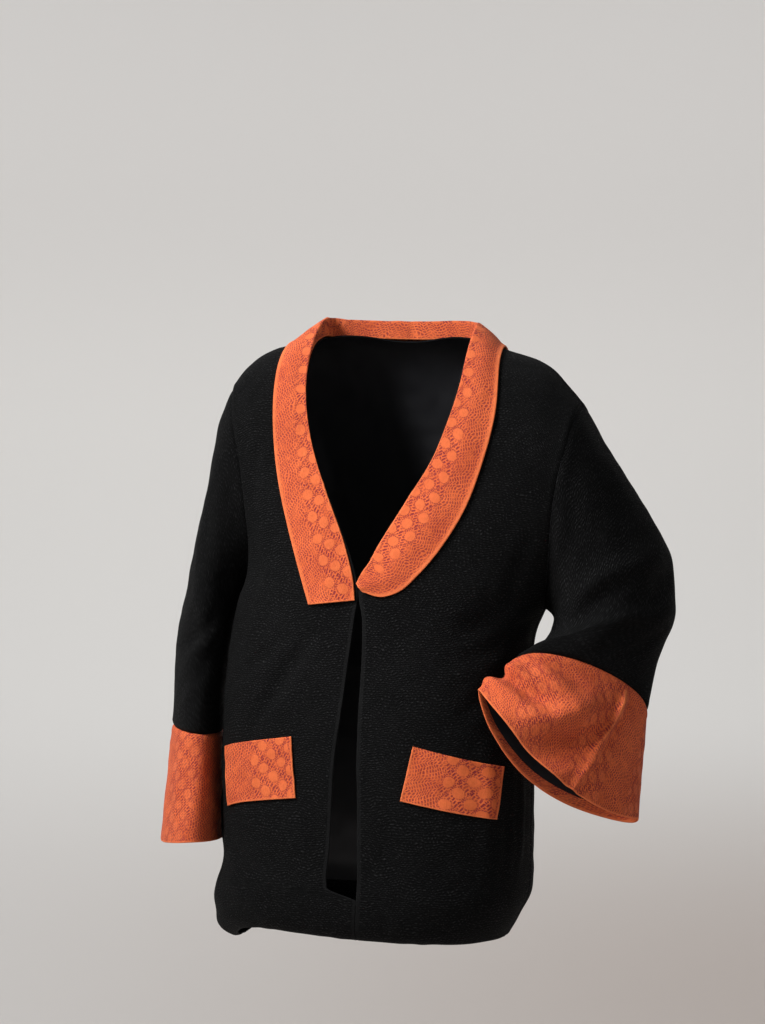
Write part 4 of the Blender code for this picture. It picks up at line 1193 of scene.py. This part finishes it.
def figured_material(colours):
    """Orange figured cloth: bands of plain discs in a net of dashes, and bands of wavy broken lines. Its
    rolled edges and seams carry a painted highlight, and its ground a fine mottle of painted shade from its
    relief beside random tone.
    """
    cloth = Shader("orange_cloth")
    spot, across, down = cloth.place("Cloth")
    _, from_edge, from_end = cloth.place("Edges")
    _, from_seam, busy = cloth.place("Seams")
    drift = cloth.noise(spot, 0.03, 1.0)
    shake = cloth.noise(spot, 0.004, 2.0)
    u = across + (drift - 0.5) * 0.0050
    v = down + cloth.wander(spot, 0.037, 0.0056, 7.3)
    stripe = (u / STRIPE).fraction().absolute_from(0.5 + WAVY_SHARE / 2)
    border = 0.5 - WAVY_SHARE / 2
    in_discs = (stripe + (shake - 0.5) * 0.03).ramp(border - 0.02, border + 0.02, 1.0, 0.0)
    disc, figures = disc_net(cloth, u, v, shake, drift, busy)
    disc = disc * in_discs
    wave = (v * (2 * math.pi / 0.024) + drift * 7.0).math("SINE") * 0.0022
    wavy = cloth.dashes(v + (shake - 0.5) * 0.0020, u + wave + (shake - 0.5) * 0.0012, 0.0048, 0.0037)
    # Plain bands along the free edges, where the figures stop; they also carry the painted edge highlight
    plain = cloth.larger(from_edge.ramp(0.0014, 0.0030, 1.0, 0.0), from_end.ramp(0.0030, 0.0085, 1.0, 0.0))
    seam = from_seam.ramp(0.0010, 0.0030, 1.0, 0.0)
    faded = cloth.noise(spot, 0.014, 2.0).ramp(0.25, 0.55, 0.45, 1.0)
    figured = in_discs * figures + (1.0 - in_discs) * wavy * 0.85
    dark = figured * faded * (1.0 - cloth.larger(plain, seam) * 0.9)

    # Mottled ground: a broad random tone, and a fine mottle painted as shade from the cloth's relief
    tone = cloth.noise(spot, 0.05, 3.0) * 0.6 + cloth.noise(spot, 0.0050, 2.0, 3.1) * 0.4
    slubs = cloth.noise(cloth.vector(across / 0.0012, down / 0.009), 1.0, 2.0)
    ground = cloth.mix((tone - 0.5) * 2.6 + 0.4, colours.orange, colours.orange_deep_and_painted_shade)
    ground = cloth.mix(disc * faded * (0.55 - busy * 0.25), ground, colours.orange_disc)
    ground = cloth.mix(slubs.ramp(0.40, 0.75, 0.0, 0.34), ground, colours.orange_deep_and_painted_shade)
    # Painted highlight: the rolled edges and the seam ridge are painted lighter
    ground = cloth.mix(cloth.larger(plain * 0.35, seam * 0.55), ground, colours.orange_painted_edge_highlight)
    ground = cloth.mix(dark * 0.92, ground, colours.dash)
    beside_seam = from_seam.absolute_from(0.0048).ramp(0.0006, 0.0018, 1.0, 0.0)
    grain = cloth.noise(spot, 0.0035, 2.0) * 0.5 + cloth.noise(spot, 0.0060, 1.0, 6.2) * 0.8
    height = (disc * 0.25 - dark * 0.55 + slubs * 0.40 + grain + cloth.threads(across, down, 0.0009) * 0.2
              + seam * 1.6 - beside_seam)
    cloth.set(Base_Color=ground, Roughness=0.80 - disc * 0.16, Normal=cloth.bump(height, 0.00060, 0.9))
    cloth.set(Specular_IOR_Level=0.32, Sheen_Weight=0.02, Sheen_Roughness=0.4)
    return cloth.material


def lining_material(colours):
    """Smooth black lining with a faint rib."""
    cloth = Shader("black_lining")
    spot, across, down = cloth.place("Cloth")
    soft = cloth.noise(spot, 0.06, 2.0)
    ground = cloth.mix(soft, colours.lining, [part * 1.5 for part in colours.lining])
    height = cloth.threads(across, down, 0.0008) * 0.3 + cloth.noise(spot, 0.012, 2.0)
    cloth.set(Base_Color=ground, Roughness=soft.ramp(0.3, 0.7, 0.44, 0.52))
    cloth.set(Normal=cloth.bump(height, 0.00025, 0.5), Specular_IOR_Level=0.3)
    return cloth.material


MAKERS = {"black_crepe": crepe_material, "orange_cloth": figured_material, "black_lining": lining_material}


def cloths(*names):
    """Materials, each made once and used by several pieces."""
    colours = bpy.context.scene.jacket_colours
    return tuple(bpy.data.materials.get(name) or MAKERS[name](colours) for name in names)


def studio_material(colours):
    """Paper with painted light behind the jacket's middle and a painted shadow low and to one side, and clear
    from its far side.
    """
    paper = Shader("studio_paper")
    spot = paper.node("ShaderNodeTexCoord", output=3)
    across = paper.channel(spot, 0) * math.cos(CAMERA_TURN) + paper.channel(spot, 1) * math.sin(CAMERA_TURN)
    height = paper.channel(spot, 2)
    # The plain paper, a painted light a little paler than it, and a painted shadow darker and warmer
    tones = ((1.0, 1.0, 1.0), (1.13, 1.14, 1.14), (0.74, 0.68, 0.65))
    plain, painted_light, shade = ([part * share for part, share in zip(colours.studio, tone)] for tone in tones)
    # Painted light: a paler band at the height of the jacket's middle
    painted_light_share = height.ramp(-0.1, 0.7, 1.0, 0.0) * height.ramp(-1.35, -0.7)
    # Painted shadow: darker towards the floor, most of all to the right
    lower = height.ramp(-1.42, -0.8, 1.0, 0.0) * across.ramp(-1.6, 1.0, 0.10, 1.0)
    paper.set(Base_Color=paper.mix(lower, paper.mix(painted_light_share, plain, painted_light), shade), Roughness=0.9)
    from_behind = paper.node("ShaderNodeNewGeometry", output=6)
    sheet, clear = Socket(paper, paper.surface.outputs[0]), paper.node("ShaderNodeBsdfTransparent")
    seen = paper.node("ShaderNodeMixShader", None, {0: from_behind, 1: sheet, 2: clear})
    paper.join(paper.tree.nodes["Material Output"].inputs["Surface"], seen)
    return paper.material


def backdrop_section(share):
    """How far back and how high the paper lies at a share of its way: floor, bend and wall."""
    if share < FLOOR_SHARE:
        return FLOOR_FRONT + (WALL_BACK - BEND_RADIUS - FLOOR_FRONT) * share / FLOOR_SHARE, 0.0
    if share < WALL_SHARE:
        bend = (share - FLOOR_SHARE) / (WALL_SHARE - FLOOR_SHARE) * math.pi / 2
        return WALL_BACK - BEND_RADIUS * (1 - math.sin(bend)), BEND_RADIUS * (1 - math.cos(bend))
    return WALL_BACK, BEND_RADIUS + WALL_HIGH * (share - WALL_SHARE) / (1 - WALL_SHARE)


def backdrop(colours):
    """The sheet of paper that is the floor and the wall, square to the camera."""
    bm = bmesh.new()
    bmesh.ops.create_grid(bm, x_segments=2, y_segments=48, size=1.0)
    for vert in bm.verts:
        y, z = backdrop_section((vert.co.y + 1) / 2)
        vert.co = (vert.co.x * BACKDROP_HALF, y, z + FLOOR_HEIGHT)
    bmesh.ops.rotate(bm, verts=bm.verts[:], matrix=Matrix.Rotation(CAMERA_TURN, 3, "Z"))
    mesh = bpy.data.meshes.new("studio")
    bm.to_mesh(mesh)
    bm.free()
    mesh.shade_smooth()
    mesh.materials.append(studio_material(colours))
    return bpy.data.objects.new("studio", mesh)


def lamp(name, power, size, spread, spot, target):
    """A square soft light, aimed at a point."""
    data = bpy.data.lights.new(name, "AREA")
    data.energy, data.size, data.spread = power, size, math.radians(spread)
    light = bpy.data.objects.new(name, data)
    light.location = spot
    light.rotation_euler = (Vector(target) - Vector(spot)).to_track_quat("-Z", "Y").to_euler()
    return light


def photo_camera():
    """The camera, in the photo's place."""
    data = bpy.data.cameras.new("camera")
    data.sensor_width, data.lens = SENSOR, SENSOR * FOCAL_PIXELS / PICTURE_HEIGHT
    camera = bpy.data.objects.new("camera", data)
    spot = Vector((CAMERA_ASIDE, -CAMERA_AWAY, CAMERA_HEIGHT))
    camera.location = Matrix.Rotation(CAMERA_TURN, 3, "Z") @ spot
    camera.rotation_euler = (math.pi / 2, 0.0, CAMERA_TURN)
    return camera


def length_value(name, description, default):
    """A length that a user may change."""
    return bpy.props.FloatProperty(name=name, description=description, default=default, unit="LENGTH")


def colour_value(name, description, default):
    """A colour that a user may change."""
    return bpy.props.FloatVectorProperty(name=name, description=description, default=default, subtype="COLOR",
                                         size=3)


class JacketSizes(bpy.types.PropertyGroup):
    """Sizes of the cloths and how finely the pieces are divided."""

    cloth: length_value("Cloth", "Thickness of the black cloth with its facing", 0.0024)
    collar_cloth: length_value("Collar cloth", "Thickness of the collar band", 0.0028)
    flap_cloth: length_value("Flap cloth", "Thickness of a pocket flap", 0.0024)
    lining: length_value("Lining", "Thickness of the lining in the cuff", 0.0010)
    step: length_value("Step", "Distance between the points of a piece", 0.0042)


class JacketColours(bpy.types.PropertyGroup):
    """Colours of the cloths and of the studio."""

    # Painted shade: the colour of the hollows between the crepe's nubs
    crepe_painted_shade: colour_value("Crepe hollows", "Between the crepe's nubs", (0.0011, 0.0011, 0.0012))
    # Painted highlight: the lighter colour of the crepe's nubs, standing in for their sheen
    crepe_painted_nub_highlight: colour_value("Crepe nubs", "The crepe's small light nubs", (0.0175, 0.0175, 0.0179))
    orange: colour_value("Orange", "Orange ground cloth", (0.87, 0.172, 0.046))
    # Darker threads, and the painted shade of the ground's fine mottle
    orange_deep_and_painted_shade: colour_value("Deep orange", "Darker threads of the orange cloth", (0.60, 0.094, 0.023))
    orange_disc: colour_value("Discs", "The plain discs", (0.82, 0.166, 0.040))
    # Painted highlight along the rolled edges and seams of the orange cloth
    orange_painted_edge_highlight: colour_value("Rolled edges", "The plain lighter edges", (0.92, 0.25, 0.080))
    dash: colour_value("Dashes", "The dark red dashes", (0.22, 0.010, 0.026))
    lining: colour_value("Lining", "Smooth black lining", (0.010, 0.010, 0.012))
    studio: colour_value("Studio", "Floor and backdrop", (0.66, 0.64, 0.62))


def finish_piece(piece):
    """Puts a finished piece on the frame in place of its solid."""
    node = piece.name.removeprefix("cloth_")
    slot, flat, area, held, rests_on = SHEETS[node]
    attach(piece, "root")
    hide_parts(node)
    ["cloth_" + other for other in rests_on]


class JACKET_OT_body(bpy.types.Operator):
    """Makes the back and the two fronts"""

    bl_idname = "jacket.body"
    bl_label = "Body"

    def execute(self, context):
        sizes = context.scene.jacket_sizes
        materials = cloths("black_crepe", "black_lining")
        finish_piece(back_piece(sizes, materials))
        for side in ("right", "left"):
            finish_piece(front_piece(side, sizes, materials))
        return {"FINISHED"}


class JACKET_OT_sleeves(bpy.types.Operator):
    """Makes the sleeves, the cuffs and the inside of the open cuff"""

    bl_idname = "jacket.sleeves"
    bl_label = "Sleeves and cuffs"

    def execute(self, context):
        sizes = context.scene.jacket_sizes
        for side in ("right", "left"):
            rings = sleeve_rings(side, tube_shares(SLEEVE_LENGTH, sizes, SEAMED, SEAMED), sizes)
            finish_piece(tube_piece("sleeve_" + side, rings, sizes.cloth, ("set_in", "seamed"),
                                    cloths("black_crepe", "black_lining"), side, 0.0, SLEEVE_TURN))
            seam_ring = sleeve_rings(side, [1.0], sizes)[0]
            rings = cuff_rings(side, seam_ring, tube_shares(CUFF_LENGTH, sizes, SEAMED, RIM))
            finish_piece(tube_piece("cuff_" + side, rings, sizes.cloth, ("seamed", "free"),
                                    cloths("orange_cloth", "black_lining"), side, CUFF_CUT[side],
                                    CUFF_TURN[side]))
            if side == "left":
                self.make_inside(seam_ring, sizes)
        return {"FINISHED"}

    def make_inside(self, seam_ring, sizes):
        """The facing band and the lining that show inside the open cuff."""
        flare = CUFF["left"]["flare"]
        for name, material, (first, last) in (
            ("cuff_facing_left", "orange_cloth", FACING_ENDS),
            ("cuff_lining_left", "black_lining", LINING_ENDS),
        ):
            count = max(int((last - first) * CUFF_LENGTH / sizes.step), INSIDE_ROWS)
            rings = cuff_rings("left", seam_ring, np.linspace(first, last, count))
            lead = lengths_along(rings)[-1:] * first**flare / (last**flare - first**flare)
            finish_piece(tube_piece(name, rings, sizes.lining, ("free", "free"), cloths(material, material),
                                    "left", inset=sizes.cloth + 2 * SEAM_GAP, lead=lead, like="cuff_left"))


class JACKET_OT_collar(bpy.types.Operator):
    """Makes the shawl collar"""

    bl_idname = "jacket.collar"
    bl_label = "Collar"

    def execute(self, context):
        finish_piece(collar_piece(context.scene.jacket_sizes, cloths("orange_cloth", "orange_cloth")))
        return {"FINISHED"}


class JACKET_OT_flaps(bpy.types.Operator):
    """Makes the two pocket flaps"""

    bl_idname = "jacket.flaps"
    bl_label = "Pocket flaps"

    def execute(self, context):
        for side in ("right", "left"):
            finish_piece(flap_piece(side, context.scene.jacket_sizes, cloths("orange_cloth", "orange_cloth")))
        return {"FINISHED"}


class JACKET_OT_stage(bpy.types.Operator):
    """Makes the floor with its backdrop, the lights and the camera"""

    bl_idname = "jacket.stage"
    bl_label = "Studio"

    def execute(self, context):
        scene = context.scene
        studio = backdrop(scene.jacket_colours)
        scene.camera = photo_camera()
        lights = [lamp(name, *values) for name, values in LIGHTS.items()]
        for item in (studio, scene.camera, *lights):
            scene.collection.objects.link(item)
        scene.world = bpy.data.worlds.new("studio_air")
        scene.world.use_nodes = True
        air = scene.world.node_tree.nodes["Background"]
        air.inputs["Color"].default_value = AIR_COLOUR
        air.inputs["Strength"].default_value = AIR_STRENGTH
        scene.view_settings.view_transform = "Standard"
        return {"FINISHED"}


class JACKET_PT_panel(bpy.types.Panel):
    """Sizes, colours and the steps of the jacket"""

    bl_label = "Kimono Jacket"
    bl_idname = "JACKET_PT_panel"
    bl_space_type = "VIEW_3D"
    bl_region_type = "UI"
    bl_category = "Jacket"

    def draw(self, context):
        for group in (context.scene.jacket_sizes, context.scene.jacket_colours):
            for key in group.bl_rna.properties.keys():
                if key not in ("rna_type", "name"):
                    self.layout.prop(group, key)
        for operator in OPERATORS:
            self.layout.operator(operator.bl_idname)


OPERATORS = (JACKET_OT_body, JACKET_OT_sleeves, JACKET_OT_collar, JACKET_OT_flaps, JACKET_OT_stage)
CLASSES = (JacketSizes, JacketColours, *OPERATORS, JACKET_PT_panel)


def register():
    for cls in CLASSES:
        bpy.utils.register_class(cls)
    bpy.types.Scene.jacket_sizes = bpy.props.PointerProperty(type=JacketSizes)
    bpy.types.Scene.jacket_colours = bpy.props.PointerProperty(type=JacketColours)


def unregister():
    del bpy.types.Scene.jacket_colours
    del bpy.types.Scene.jacket_sizes
    for cls in reversed(CLASSES):
        bpy.utils.unregister_class(cls)


def main():
    """Makes the jacket and its studio."""
    register()
    for name in ("body", "sleeves", "collar", "flaps", "stage"):
        getattr(bpy.ops.jacket, name)()


if __name__ == "__main__":
    main()
